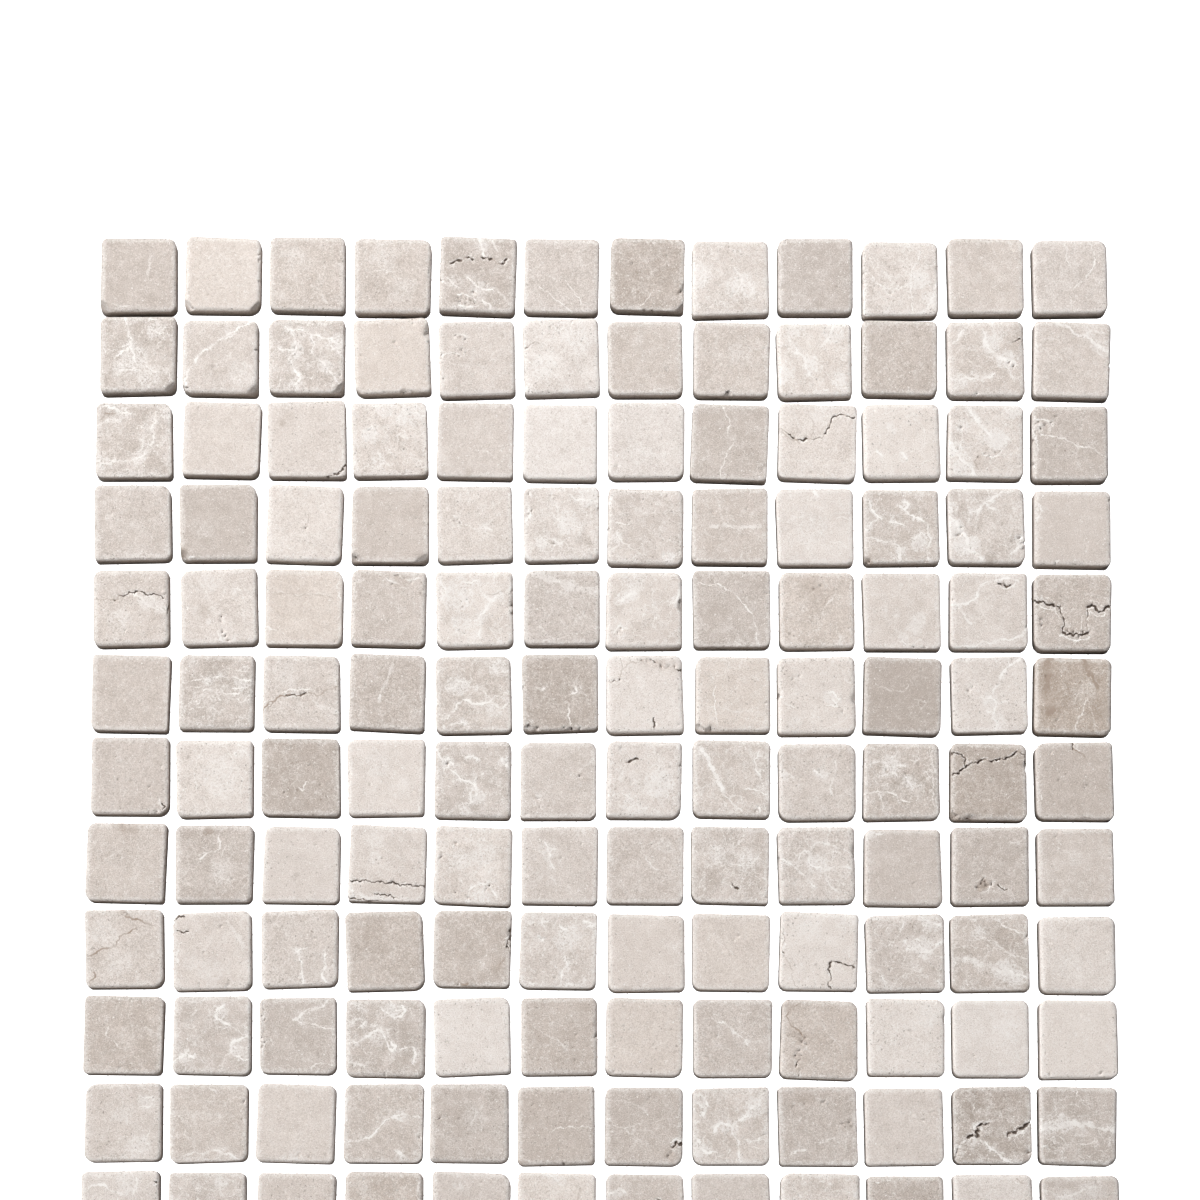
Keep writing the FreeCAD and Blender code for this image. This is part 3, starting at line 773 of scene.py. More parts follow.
        vein((-.8, -.8), (-.2, -.85), (.5, -.9), strength=.6, width=.6), stain(-.2, -.7, .4, .3),
        patch(-.3, .6, .22, .7), patch(-.32, .15, .2, .6),
        vein((-.4, -.72), (-.2, -.82), (-.05, -.95), width=.4),
        vein((-.95, -.6), (-.86, -.75), width=.4, strength=.8),
    ],
    (8, 5): [
        pits((.42, -.5), (-.42, -.68), (-.8, .2), radius=.42), pits((.35, -.58), (-.1, -.8), radius=.3),
        patch(.3, .3, .4, .4), vein((-.1, -.92), (-.08, -.62), (.15, -.45), (.4, -.4), width=.4),
        vein((.25, -.45), (.5, -.6), (.62, -.85), width=.4),
        vein((.15, -.45), (.4, -.15), (.7, .1), width=.5, strength=.5), patch(.2, -.75, .25, .8),
        patch(-.3, .2, .3, .6), vein((-.5, .5), (-.2, .1), (.1, 0), width=.6, strength=.4),
        pits((-.42, .55), radius=.26),
    ],
    (8, 6): [
        vein((-.45, .62), (-.3, .45), (-.26, .1), (-.15, -.1), width=.35, strength=.9),
        pits((-.45, .52), (-.32, .3), radius=.26), vein((-.3, .45), (-.1, .4), strength=.7),
        patch(-.3, .3, .2, .7), vein((-.3, -.3), (-.1, -.5), strength=.5),
    ],
    (8, 7): [
        vein((-.12, .36), (.02, .18), (.12, .05), (.3, -.12), width=.24, strength=.8),
        patch(.5, .5, .25, .5), vein((.3, -.12), (.6, -.3), width=.24, strength=.4),
    ],
    (8, 8): [
        crack((.05, -.5), (.1, -.55), (.18, -.6), width=.3, depth=.5), patch(-.3, .3, .3, .5),
        patch(.4, .1, .3, .5), vein((-.6, 0), (-.1, .1), (.4, -.1), (.7, .2), strength=.5),
        vein((-.2, -.4), (.1, -.2), strength=.5),
    ],
    (8, 9): [
        vein((-1, .2), (-.8, .1), (-.6, 0), (-.4, -.2), (-.2, -.4), (0, -.6), strength=.9),
        vein((-.2, .35), (-.1, -.05), (.2, -.15), (.6, -.05), (.9, -.1), strength=.9),
        vein((.5, .45), (.7, .4), (.85, .3), strength=.7),
        vein((-.6, 0), (-.4, .3), (-.2, .35), strength=.7),
        vein((-.2, .35), (.1, .6), (.5, .45), strength=.6),
        vein((.2, -.15), (.3, -.5), (.6, -.7), strength=.6),
        pits((-1, .2), (.97, .25), radius=.6, depth=.6), patch(0, 0, .4, .4),
    ],
    (8, 10): [
        patch(-.8, .84, .2, .9), vein((-.92, .7), (-.75, .9), (-.5, .88), width=.5, strength=.8),
        vein((-.9, .3), (-.88, -.4), width=.3, strength=.3),
    ],
    (8, 11): [
        pits((-.34, -.56), (-.24, -.46), (-.14, -.42), (-.1, -.52), radius=.62, depth=.8),
        pits((-.2, -.36), (.02, -.48), radius=.4, depth=.5), stain(-.2, -.48, .2, 1),
        shade(-.2, -.5, .22, .8),
        crack((.12, -.45), (.25, -.56), (.42, -.6), width=.15, depth=.4, broken=.3),
        vein((-.42, -.62), (-.36, -.4), (-.15, -.28), width=.34),
        vein((-.3, -.7), (-.05, -.6), (.1, -.4), width=.32, strength=.9),
        vein((.45, .6), (.7, .55), (.92, .75), width=.5, strength=.5), stain(.92, -.93, .1, .7),
        shade(.5, -.4, .3, .3),
    ],
    (8, 12): [vein((-.4, .4), (0, .3), (.3, .5), width=.26, strength=.35), patch(0, .2, .3, .3)],

    (9, 1): [
        hair((-1, -.27), (-.75, -.15), (-.45, 0), (-.22, .04), (-.18, .17), (0, .37), (.26, .5), (.3, .52),
             width=.3, strength=1),
        hair((.78, .65), (.74, .58), (.5, .65), (.22, .73), (.02, .82), (.1, .86), (-.06, .98), width=.34,
             strength=1),
        hair((.3, .52), (.5, .55), (.74, .58), width=.2, strength=.5),
        pits((0, .92), (.06, .87), radius=.26),
        hair((-.86, -1), (-.82, -.81), (-.7, -.73), (-.74, -.61), width=.3, strength=.9),
        hair((-.7, -.73), (-.58, -.72), width=.3, strength=.8), stain(-.05, .95, .12, .8),
        patch(-.5, .4, .4, .5), patch(-.1, -.4, .4, .4), shade(.4, -.3, .45, .4),
    ],
    (9, 2): [
        crack((-.93, .76), (-.86, .87), (-.72, .84), width=.2, depth=.5),
        crack((-.88, .5), (-.72, .42), (-.6, .47), width=.18, depth=.4),
        vein((-.76, .2), (-.85, -.3), width=.6, strength=.7),
        vein((.35, .75), (.6, .4), (.8, .1), width=.9, strength=.5), patch(0, -.5, .35, .6),
        patch(-.5, -.3, .3, .4), shade(-.3, .3, .3, .3),
    ],
    (9, 3): [
        vein((-.25, .02), (-.05, -.08), (.2, .02), width=.5),
        vein((0, -.05), (.07, -.45), (.1, -.9), width=.45),
        vein((-.1, -.3), (.08, -.2), width=.4, strength=.8), patch(0, -.05, .16, 1),
        patch(.08, -.7, .1, .8),
        vein((.7, .05), (.65, -.2), (.72, -.45), (.6, -.7), (.74, -.85), width=.42),
        patch(.68, -.6, .14, .8), vein((-.95, -.1), (-.75, -.3), width=.4, strength=.6),
        patch(.03, .95, .1, .9), pits((.4, .25), radius=.24),
    ],
    (9, 4): [
        stain(-.05, .05, .25, .25), stain(.9, -.93, .12, .5),
        vein((.3, .6), (.5, .3), width=.26, strength=.35), stain(-.4, .5, .4, .2),
    ],
    (9, 5): [
        crack((.97, .3), (.87, .12), (.93, 0), (.98, -.12), width=.4, depth=.7),
        pits((.95, .1), radius=.5, depth=.6),
        hair((.85, -.15), (.75, -.35), (.6, -.5), (.58, -.85), width=.3, strength=.6),
        stain(.68, -.5, .22, .4), hair((-.33, -.86), (-.25, -.95), (-.1, -.9), width=.4, strength=.9),
        pits((-.35, -.95), (0, -.97), radius=.4), stain(-.1, -.93, .16, .5),
    ],
    (9, 6): [
        patch(.18, .28, .4, .8), pits((.24, .58), (-.43, .3), radius=.36),
        vein((.05, .62), (.2, .55), (.42, .6), width=.4), vein((-.4, .85), (-.33, .5), strength=.8),
        vein((.65, .78), (.85, .72), (.95, .55), width=.45), vein((.75, .62), (.95, .7), width=.35),
        vein((-.5, .38), (-.38, .24), strength=.8), vein((-.8, .75), (-.5, .7), (-.2, .8), strength=.6),
        vein((.18, -.18), (.24, -.42), (.08, -.6), (.02, -.95), width=.4, strength=.9),
        patch(.25, -.5, .1, .9), vein((-.95, -.75), (-.4, -.9), width=.3, strength=.8),
        vein((.2, -.85), (.6, -.9), (.95, -.7), strength=.6),
    ],
    (9, 7): [
        stain(-.5, -.95, .12, .5), patch(.65, .15, .25, .4), vein((.1, -.7), (-.1, -.85), strength=.4),
    ],
    (9, 8): [
        hair((-.3, .5), (-.15, .1), (.1, -.1), width=.2, strength=.3),
        vein((-.4, .5), (0, 0), width=.2, strength=.4),
    ],
    (9, 9): [
        crack((.86, -.41), (.6, -.34), (.38, -.27), (.26, -.31), (.22, -.47), (.23, -.8), (.3, -.96),
              width=.2, depth=.5, broken=.1),
        crack((-.93, .6), (-.9, .2), (-.93, .1), (-.88, -.05), width=.17, depth=.4, broken=.6),
        hair((-.88, -.05), (-.72, -.35), (-.5, -.95), width=.2, strength=.5),
        pits((-.92, .15), (-.93, .3), radius=.3), patch(.7, .7, .3, .6), patch(-.2, .5, .4, .4),
    ],
    (9, 10): [
        vein((-.95, .9), (-.7, .85), width=.45), vein((0, .95), (-.05, .7), (-.12, .5), strength=.9),
        vein((.4, .9), (.7, .72), (.95, .65), width=.5), patch(.7, .75, .25, .9),
        hair((-.35, .95), (-.3, .9), width=.2), vein((0, .3), (.08, .15), (.25, .33), (.4, .3)),
        vein((.05, .1), (.4, 0), (.7, .1), (.95, .28), width=.4), vein((.35, .2), (.45, -.15), strength=.8),
        vein((.5, .1), (.75, -.1), (.95, -.12), strength=.8), patch(.45, .1, .3, .9),
        vein((-.6, -.6), (-.5, -.85), width=.4, strength=.9),
        vein((.8, -.72), (.95, -.8), width=.4, strength=.8),
        vein((0, -.1), (-.05, -.4), width=.26, strength=.5),
    ],
    (9, 11): [
        vein((-.9, -.2), (-.3, -.3), (.3, -.5), (.8, -.75), width=1.1, strength=.6), patch(.3, -.45, .3, 1),
        patch(.6, -.65, .25, 1), patch(-.3, .5, .25, .4),
        vein((.1, .85), (.5, .6), (.95, .5), width=.3, strength=.9),
        vein((.0, .25), (.3, .1), (.7, -.2), width=.3, strength=.7),
        vein((.3, -.3), (.6, -.55), (.9, -.6), width=.4),
        vein((-.45, .3), (.1, .3), (.5, 0), width=.26, strength=.6), pits((.94, .42), radius=.5, depth=.6),
        stain(.88, -.92, .14, .9), stain(-.92, -.95, .12, .7), shade(-.5, .1, .3, .4),
    ],
    (9, 12): [
        shade(.5, .75, .35, .4), hair((-.45, .65), (-.3, .76), width=.2, strength=.6),
        patch(-.2, -.3, .5, .3),
    ],

    (10, 1): [
        vein((-.38, .2), (-.42, -.05), (-.2, -.2), (-.05, -.35), width=.26, strength=.7),
        vein((.55, .22), (.95, 0), strength=.35), hair((-.37, .8), (-.38, .2), width=.3, strength=.2),
    ],
    (10, 2): [
        vein((.28, .76), (.2, .68), (.08, .5), (.12, .41), (.48, .23), (.76, .02), (.92, -.02), (.68, -.14),
             (.48, -.24), (.48, -.44), (.72, -.54), (.96, -.63), strength=1, width=.38),
        vein((-.95, -.66), (-.72, -.5), (-.5, -.54), (-.35, -.6), (-.16, -.7), strength=1, width=.45),
        vein((-.7, -.5), (-.6, -.35), strength=.7), vein((.1, .62), (.28, .7), width=.5),
        vein((.5, -.2), (.7, -.12), width=.5), patch(.3, .55, .16, .9), patch(.65, -.4, .2, .7),
        patch(-.7, -.6, .15, .8), patch(.95, .7, .12, .9),
        vein((.48, -.44), (.3, -.7), (.2, -.9), width=.3, strength=.4),
        vein((-.6, .8), (-.2, .9), strength=.4),
    ],
    (10, 3): [
        pits((-.93, .8), (-.88, .66), (-.94, .5), (-.86, .4), (-.93, .24), (-.88, .1), (-.93, -.05),
             (-.86, -.18), (-.93, -.32), (-.88, -.45), radius=.32, depth=.4),
        vein((-.97, .85), (-.9, .4), (-.95, 0), (-.9, -.5), width=.3, strength=.7),
        vein((-.15, .42), (.3, .65), (.75, .9), width=.6, strength=.8),
        vein((-.15, .42), (.4, .3), (.95, .15), strength=.9),
        vein((0, .5), (.4, .75), width=.3, strength=.8), patch(.1, .5, .2, .5),
        pits((.95, -.05), radius=.3), vein((.35, -.85), (.6, -.7), (.95, -.75), width=.3, strength=.8),
        shade(.6, .6, .25, .3),
    ],
    (10, 4): [
        patch(.15, .7, .2, .9), vein((-.1, .75), (.1, .58), (.4, .55), (.5, .7), (.4, .85), width=.4),
        vein((.25, .72), (.4, .72), width=.4),
        vein((-.92, -.12), (-.5, .02), (-.2, .22), width=.4, strength=.9),
        vein((-.1, .2), (0, 0), (.08, -.2), (.18, -.32), (.28, -.22), (.15, -.1), width=.42),
        vein((.35, -.28), (.72, -.22), (.78, -.4), (.72, -.6), width=.4, strength=.9),
        vein((-.25, .1), (-.4, -.1), strength=.7),
        vein((-.85, .35), (-.65, .5), (-.5, .42), (-.6, .3), strength=.9),
        vein((-.95, -.6), (-.5, -.75), strength=.6), vein((-.85, .88), (-.5, .68), strength=.8),
        pits((0, -.95), (.3, -.97), radius=.36), patch(-.2, .1, .2, .6),
    ],
    (10, 5): [
        pits((.12, -.6), radius=.24), patch(-.5, .6, .2, .4),
        vein((.1, -.3), (.15, -.6), width=.24, strength=.4),
    ],
    (10, 6): [
        vein((-.45, .1), (-.3, .02), (-.05, -.1), (.1, -.25), width=.26, strength=.9),
        pits((.97, 0), radius=.75, depth=.7), vein((-.8, .35), (-.45, .1), width=.24, strength=.45),
        vein((-.15, -.1), (-.4, -.4), width=.24, strength=.5),
        vein((-.2, .5), (.3, .2), (.6, .3), width=.22, strength=.35),
    ],
    (10, 7): [
        vein((-.6, .3), (0, .2), (.5, .35), width=.2, strength=.2), stain(-.92, -.93, .1, .5),
        stain(.9, -.9, .1, .4),
    ],
    (10, 8): [
        vein((-.55, .5), (-.2, .4), (.1, .1), (.35, -.15), width=.42, strength=.9),
        patch(.35, -.12, .1, .9), vein((.35, -.1), (.95, .1), width=.5, strength=.35),
        pits((-.95, -.4), (-.95, -.1), radius=.3),
    ],
    (10, 9): [
        hair((-.43, .92), (-.7, .82), (-.83, .57), (-.7, .33), (-.45, .16), (-.38, 0), width=.28,
             strength=.9),
        stain(-.75, .8, .2, .5), stain(-.45, .1, .25, .45), stain(-.5, -.5, .25, .3),
        pits((-.45, .12), (-.35, .05), (-.42, -.06), (-.32, -.12), (-.5, -.28), (-.6, -.4), (-.52, -.52),
             (-.58, -.66), (-.5, -.78), (-.55, -.92), (-.45, -.4), radius=.3, depth=.45),
        crack((-.5, -.5), (-.58, -.7), (-.52, -.95), width=.24, depth=.5, broken=.4),
        vein((.1, .4), (.4, 0), (.6, -.4), width=.3, strength=.4),
        vein((.1, -.75), (.5, -.75), width=.22, strength=.4),
    ],
    (10, 10): [pits((.98, .45), radius=.6, depth=.6), patch(.6, .6, .4, .5), patch(-.7, -.3, .14, .6)],
    (10, 11): [patch(.5, .2, .4, .4), vein((.3, .2), (.5, -.1), width=.26, strength=.3)],
    (10, 12): [pits((-.75, -.87), (.55, -.85), radius=.3), shade(-.4, .3, .4, .25)],

    (11, 1): [
        patch(.6, .5, .25, .9), vein((.4, .68), (.75, .65), width=.4, strength=.9),
        vein((.4, .35), (.7, .4), (.8, .6)), patch(.4, -.6, .35, 1),
        vein((.5, -.45), (.7, -.2), width=.26, strength=.9), vein((.1, -.7), (.5, -.75), strength=.7),
        patch(0, .2, .3, .4),
    ],
    (11, 2): [
        vein((-.6, -.8), (-.1, -.75), (.3, -.7), (.75, -.88), width=.4, strength=.9),
        pits((.9, .55), (.85, .1), radius=.36), vein((-.5, .15), (.3, .17), width=.6, strength=.4),
        vein((-.38, .2), (-.35, -.6), width=.7, strength=.35),
        vein((-.95, .25), (-.7, .15), (-.55, 0), width=.4, strength=.6),
        vein((0, .9), (.2, .75), strength=.8), patch(.4, -.7, .25, .4),
    ],
    (11, 3): [
        patch(0, -.78, .2, .8), pits((-.2, -.85), (.1, -.8), (.35, -.85), radius=.28),
        patch(-.2, -.85, .12, .8),
    ],
    (11, 4): [
        vein((-.98, -.47), (-.75, -.44), (-.5, -.4), (-.25, -.28), (-.05, -.05), (.08, .1), (.28, .2),
             (.5, .23), (.9, .17), width=.36, strength=1),
        patch(.4, .2, .18, 1), patch(-.85, -.5, .1, .7),
        vein((.2, .15), (.4, .1), (.6, .2), width=.4, strength=.8),
        vein((.3, -.7), (.55, -.85), (.8, -.72), width=.6, strength=.9), stain(.62, -.75, .12, .8),
        patch(.5, -.8, .16, .7), vein((-.92, .65), (-.95, .3), width=.35, strength=.8),
        pits((.9, -.35), radius=.4), shade(.3, -.3, .3, .3),
    ],
    (11, 5): [
        patch(.08, .15, .4, .35), shade(.5, .7, .25, .6), shade(-.5, -.4, .3, .3),
        pits((-.75, .1), radius=.3),
    ],
    (11, 6): [
        vein((-.12, -.16), (.1, -.03), (.4, -.02), (.95, -.06), width=.24, strength=.7),
        pits((.2, -.97), radius=.4), stain(-.93, -.95, .1, .9), stain(.93, -.92, .12, .9),
        hair((-.95, -.3), (-.5, -.3), width=.2, strength=.25),
    ],
    (11, 7): [
        vein((-1, .25), (-.5, -.05), (-.15, -.22), width=.24, strength=.6),
        vein((-.4, 0), (.3, .12), (.9, .3), width=.22, strength=.4),
        vein((-.5, -.05), (-.3, -.2), width=.22, strength=.5),
        crack((.7, -.52), (.82, -.4), (.9, -.45), (.98, -.42), width=.4, depth=.7),
        vein((.7, -.4), (.85, -.33), (.95, -.35), width=.4), stain(.65, -.7, .16, .6),
        pits((.7, -.65), (.62, -.75), radius=.26), shade(.3, .1, .35, .2),
    ],
    (11, 8): [
        vein((-.92, .8), (-.7, .72), (-.6, .5), (-.72, .25), width=.5),
        vein((-.95, .6), (-.75, .45), width=.4, strength=.8),
        vein((.85, .75), (.5, .45), (.3, .15), (0, 0), (-.3, .05), (-.45, -.2), width=.55),
        vein((.9, .9), (.7, .5), strength=.8),
        vein((.02, -.05), (.15, -.35), (.2, -.7), (.3, -.95), width=.35),
        vein((-.3, .05), (-.6, -.1), strength=.6), vein((-.97, -.25), (-.8, -.55), (-.3, -.72), width=.5),
        vein((.35, -.35), (.55, -.4), (.78, -.3), width=.4, strength=.9), patch(.65, .45, .3, .9),
        patch(-.05, -.05, .25, .9), patch(-.8, -.62, .22, 1), patch(-.75, .65, .2, .8),
    ],
    (11, 9): [
        stain(-.4, .78, .3, .45), hair((-.6, .8), (-.1, .75), width=.5, strength=.3), stain(.7, 0, .2, .4),
        vein((-.7, -.72), (-.5, -.62), (-.3, -.6), width=.38, strength=.9),
        vein((-.1, -.45), (.4, -.3), width=.26, strength=.7),
        pits((.6, .05), (.68, -.03), (.85, 0), (.78, .1), (.15, .6), (.25, .55), radius=.24),
    ],
    (11, 10): [patch(.3, .3, .4, .25)],
    (11, 11): [
        crack((-.08, .04), (-.2, -.02), (-.28, .02), (-.37, -.03), (-.34, -.14), (-.42, -.2), (-.38, -.3),
              (-.5, -.26), (-.62, -.32), width=.36, depth=.7, broken=.1),
        crack((.38, -.28), (.46, -.18), (.58, -.2), (.62, -.1), (.78, -.08), (.88, .02), (1, .08), width=.4,
              depth=.75, broken=.1),
        vein((-.1, .1), (-.35, .04), (-.48, -.12), width=.35),
        vein((.4, -.32), (.62, -.26), (.78, -.15), width=.4),
        vein((-.36, -.36), (-.1, -.55), (.2, -.8), (.45, -.95), width=.42),
        vein((.05, -.7), (.3, -.72), strength=.7),
        vein((.3, .65), (.2, .3), (.26, .05), width=.26, strength=.45),
        vein((-.2, .2), (.05, .5), width=.24, strength=.35),
        vein((-.7, -.4), (-.82, -.55), (-.95, -.6), width=.4),
        pits((-.9, -.68), (-.95, -.82), (.93, -.7), radius=.6, depth=.6), stain(.9, -.85, .14, .6),
        patch(-.5, -.4, .16, .7),
    ],
    (11, 12): [
        vein((-1, -.1), (-.4, .04), (0, .02), (.5, -.04), (1, -.1), width=.9, strength=.75),
        patch(-.35, .04, .28, .9), patch(-.8, -.05, .2, .7),
        vein((-.7, -.2), (-.4, -.33), (-.28, -.5), width=.26, strength=.6),
        vein((-.2, -.52), (.1, -.45), (.4, -.35), width=.28, strength=.6),
        vein((.2, .1), (.45, .3), width=.24, strength=.4),
    ],

    (12, 1): [
        vein((-.85, .5), (-.7, .63), (-.4, .63), (-.2, .48), (.05, .42), width=.42),
        vein((.3, .3), (.42, .55), (.4, .8), width=.4, strength=.8), vein((.8, .6), (.95, .75), width=.5),
        patch(.15, .6, .3, .8), crack((.85, .72), (.95, .68), width=.3),
    ],
    (12, 2): [
        patch(.35, .7, .2, .6), vein((.3, .95), (.4, .4), width=.5, strength=.4),
        vein((.7, .8), (.75, .4), strength=.4),
    ],
    (12, 3): [pits((.1, .4), (-.3, .5), radius=.24)],
    (12, 4): [vein((.8, .9), (.9, .7), (.85, .5), width=.3, strength=.6), patch(-.5, .6, .3, .3)],
    (12, 5): [patch(-.3, .7, .3, .5), pits((-.95, .4), radius=.3)],
    (12, 6): [
        patch(0, .85, .2, .8), hair((.4, .9), (.6, .6), (.5, .2), width=.5, strength=.3),
        vein((-.3, .95), (.1, .8), strength=.7),
    ],
    (12, 7): [
        vein((-.95, .5), (-.65, .62), (-.5, .52), width=.5, strength=.9),
        crack((.28, .36), (.36, .3), width=.26, depth=.4), patch(-.75, .5, .15, .8),
    ],
    (12, 10): [
        vein((-.75, .82), (-.6, .88), (-.42, .88), width=.24),
        hair((-.72, .78), (-.5, .84), width=.2, strength=.5), stain(.5, .4, .12, .3),
    ],
    (12, 11): [
        hair((.55, .9), (.65, .8), (.72, .78), width=.26, strength=.8),
        vein((.5, .82), (.65, .74), width=.28),
    ],
    (12, 12): [
        patch(.3, .6, .3, .8), patch(-.3, .3, .4, .7),
        vein((-.9, .6), (-.2, .5), (.4, .7), width=.5, strength=.6),
    ],
}

# The chips' own tones: how much darker or paler than the run of them. For rows 1 to 11 this table isn't by eye:
# a scratch script measured the brightness of each chip in the photograph and printed these groups. Row 12 was
# added later, and some chips were moved by a group after photograph and render were measured the same way.
TONES = {
    -1.1: [
        (1, 7), (6, 6), (6, 10), (6, 12), (7, 3), (7, 11), (11, 11),
    ],
    -0.62: [
        (1, 1), (1, 5), (1, 9), (2, 1), (2, 10), (3, 8), (3, 12), (4, 2), (5, 8), (5, 12), (6, 2), (6, 4),
        (7, 10), (7, 12), (8, 2), (8, 11), (9, 4), (9, 5), (9, 11), (10, 1), (10, 3), (10, 4), (10, 6),
        (11, 5), (11, 6), (11, 7), (11, 9), (11, 12), (12, 4), (12, 10),
    ],
    -0.3: [
        (1, 3), (1, 4), (1, 6), (2, 3), (2, 7), (2, 8), (3, 1), (4, 1), (4, 4), (4, 8), (4, 10), (5, 4),
        (5, 6), (6, 1), (6, 5), (7, 1), (7, 5), (7, 8), (8, 1), (8, 7), (8, 8), (8, 10), (10, 2), (10, 8),
        (10, 9), (11, 2), (11, 4), (12, 2), (12, 7), (12, 12),
    ],
    0.3: [
        (1, 2), (1, 8), (1, 10), (2, 4), (3, 2), (3, 3), (3, 4), (3, 11), (4, 5), (4, 6), (5, 2), (5, 3),
        (5, 7), (5, 10), (5, 11), (6, 8), (7, 7), (8, 3), (8, 4), (8, 5), (9, 2), (9, 7), (9, 8), (10, 7),
        (11, 3), (11, 10), (12, 1), (12, 9),
    ],
    0.58: [
        (2, 6), (2, 9), (3, 7), (3, 9), (4, 3), (4, 9), (5, 5), (6, 9), (6, 11), (7, 2), (7, 4), (9, 12),
        (12, 6), (12, 11),
    ],
    0.88: [
        (3, 6), (3, 10), (6, 7), (9, 9), (10, 5), (10, 10), (10, 11), (10, 12),
    ],
}

# Chips that are warmer or cooler than the rest, partly after measured colours of the photograph's chips, and
# chips that are more mottled or plainer
WARM = [
    (1, 2), (1, 7), (2, 4), (5, 3), (5, 9), (6, 8), (6, 12), (7, 11), (9, 4), (9, 5), (9, 8), (10, 1),
    (10, 6), (10, 7), (10, 9), (11, 6), (12, 4), (12, 6), (12, 9), (12, 10),
]
VERY_WARM = [(6, 12)]
COOL = [(1, 6), (1, 9), (1, 12), (2, 6), (3, 6), (3, 7), (5, 6), (5, 8)]
MOTTLED = [
    (1, 8), (1, 10), (2, 1), (2, 3), (2, 6), (2, 9), (2, 11), (3, 1), (3, 4), (3, 11), (4, 6), (4, 7),
    (4, 10), (4, 11), (5, 5), (5, 7), (6, 2), (6, 5), (7, 5), (7, 7), (7, 8), (7, 10), (8, 5), (8, 8),
    (8, 9), (9, 6), (9, 10), (9, 11), (10, 2), (10, 4), (11, 8), (11, 11), (11, 12), (12, 2), (12, 9),
]
PLAIN = [
    (1, 1), (1, 2), (2, 4), (3, 2), (3, 3), (3, 5), (4, 2), (4, 4), (4, 12), (5, 3), (6, 1), (6, 10),
    (7, 1), (7, 12), (8, 3), (8, 10), (9, 7), (9, 8), (10, 7), (10, 12), (11, 3), (11, 6), (11, 10),
    (12, 3), (12, 5), (12, 8), (12, 9),
]


# Noise and lines

AXIS_STIRRERS = (374761393, 668265263, 1440662683)     # large odd numbers that scatter whole numbers
STIRRER = 1274126177
LOW_32_BITS = 0xFFFFFFFF


def lattice(cell, seed):
    """A repeatable number from -1 to 1 for each whole-number cell."""
    mixed = seed * STIRRER
    for axis, factor in enumerate(AXIS_STIRRERS):
        mixed = mixed + cell[:, axis] * factor
    mixed = mixed & LOW_32_BITS
    mixed = ((mixed ^ (mixed >> 13)) * STIRRER) & LOW_32_BITS
    mixed = mixed ^ (mixed >> 16)
    return mixed / (LOW_32_BITS >> 1) - 1


def noise(points, size, seed):
    """Smooth noise from -1 to 1 over points in space, with bumps of about this size."""
    scaled = points / size
    cell = np.floor(scaled).astype(np.int64)
    part = scaled - cell
    part = part * part * (3 - 2 * part)
    total = np.zeros(len(points))
    for corner in np.ndindex(2, 2, 2):
        share = np.prod(np.where(corner, part, 1 - part), axis=1)
        total += share * lattice(cell + corner, seed)
    return total


def wander(line, rng, rough):
    """The line in steps short enough for the mesh, each new middle moved sideways at random."""
    line = [np.array(p) for p in line]
    while max(np.linalg.norm(b - a) for a, b in zip(line, line[1:])) > LINE_STEP:
        finer = [line[0]]
        for a, b in zip(line, line[1:]):
            step = b - a
            aside = np.array((-step[1], step[0])) * rng.uniform(-rough, rough)
            finer += [(a + b) / 2 + aside, b]
        line = finer
    return np.array(line)


def along(line):
    """How far along the line each of its points is."""
    return np.concatenate(([0], np.cumsum(np.linalg.norm(np.diff(line, axis=0), axis=1))))


def distance_to(line, points):
    """Each point's distance to the line and how far along the line its nearest place is."""
    start = line[:-1]
    step = line[1:] - start
    squared = np.maximum((step ** 2).sum(1), 1e-18)
    lengths = np.sqrt(squared)
    offset = points[:, None] - start[None]
    part = np.clip((offset * step[None]).sum(2) / squared, 0, 1)
    gap = np.linalg.norm(offset - part[:, :, None] * step[None], axis=2)
    nearest = gap.argmin(1)
    rows = np.arange(len(points))
    place = along(line)[nearest] + part[rows, nearest] * lengths[nearest]
    return gap[rows, nearest], place


def smooth(value, low, high):
    """0 at low and 1 at high, also where high is the smaller one, with a soft start and end."""
    part = np.clip((value - low) / (high - low), 0, 1)
    return part * part * (3 - 2 * part)


def grown(line, reach):
    """The line with its last step carried on."""
    end = line[-1] + (line[-1] - line[-2]) / np.linalg.norm(line[-1] - line[-2]) * reach
    return np.vstack((line, end))


def line_profile(gap, wide):
    """1 on a line, .6 at its drawn edge and 0 beyond; the material cuts it off near .55."""
    return np.clip(1.35 - .75 * gap / wide, 0, 1)


class Lines:
    """Lines of one kind on a chip: where they are and how strongly they show there."""

    def __init__(self, count):
        self.mark = np.zeros(count)
        self.strength = np.zeros(count)

    def draw(self, mark, strength):
        stronger = mark > self.mark
        self.mark = np.where(stronger, mark, self.mark)
        self.strength = np.where(stronger, strength, self.strength)


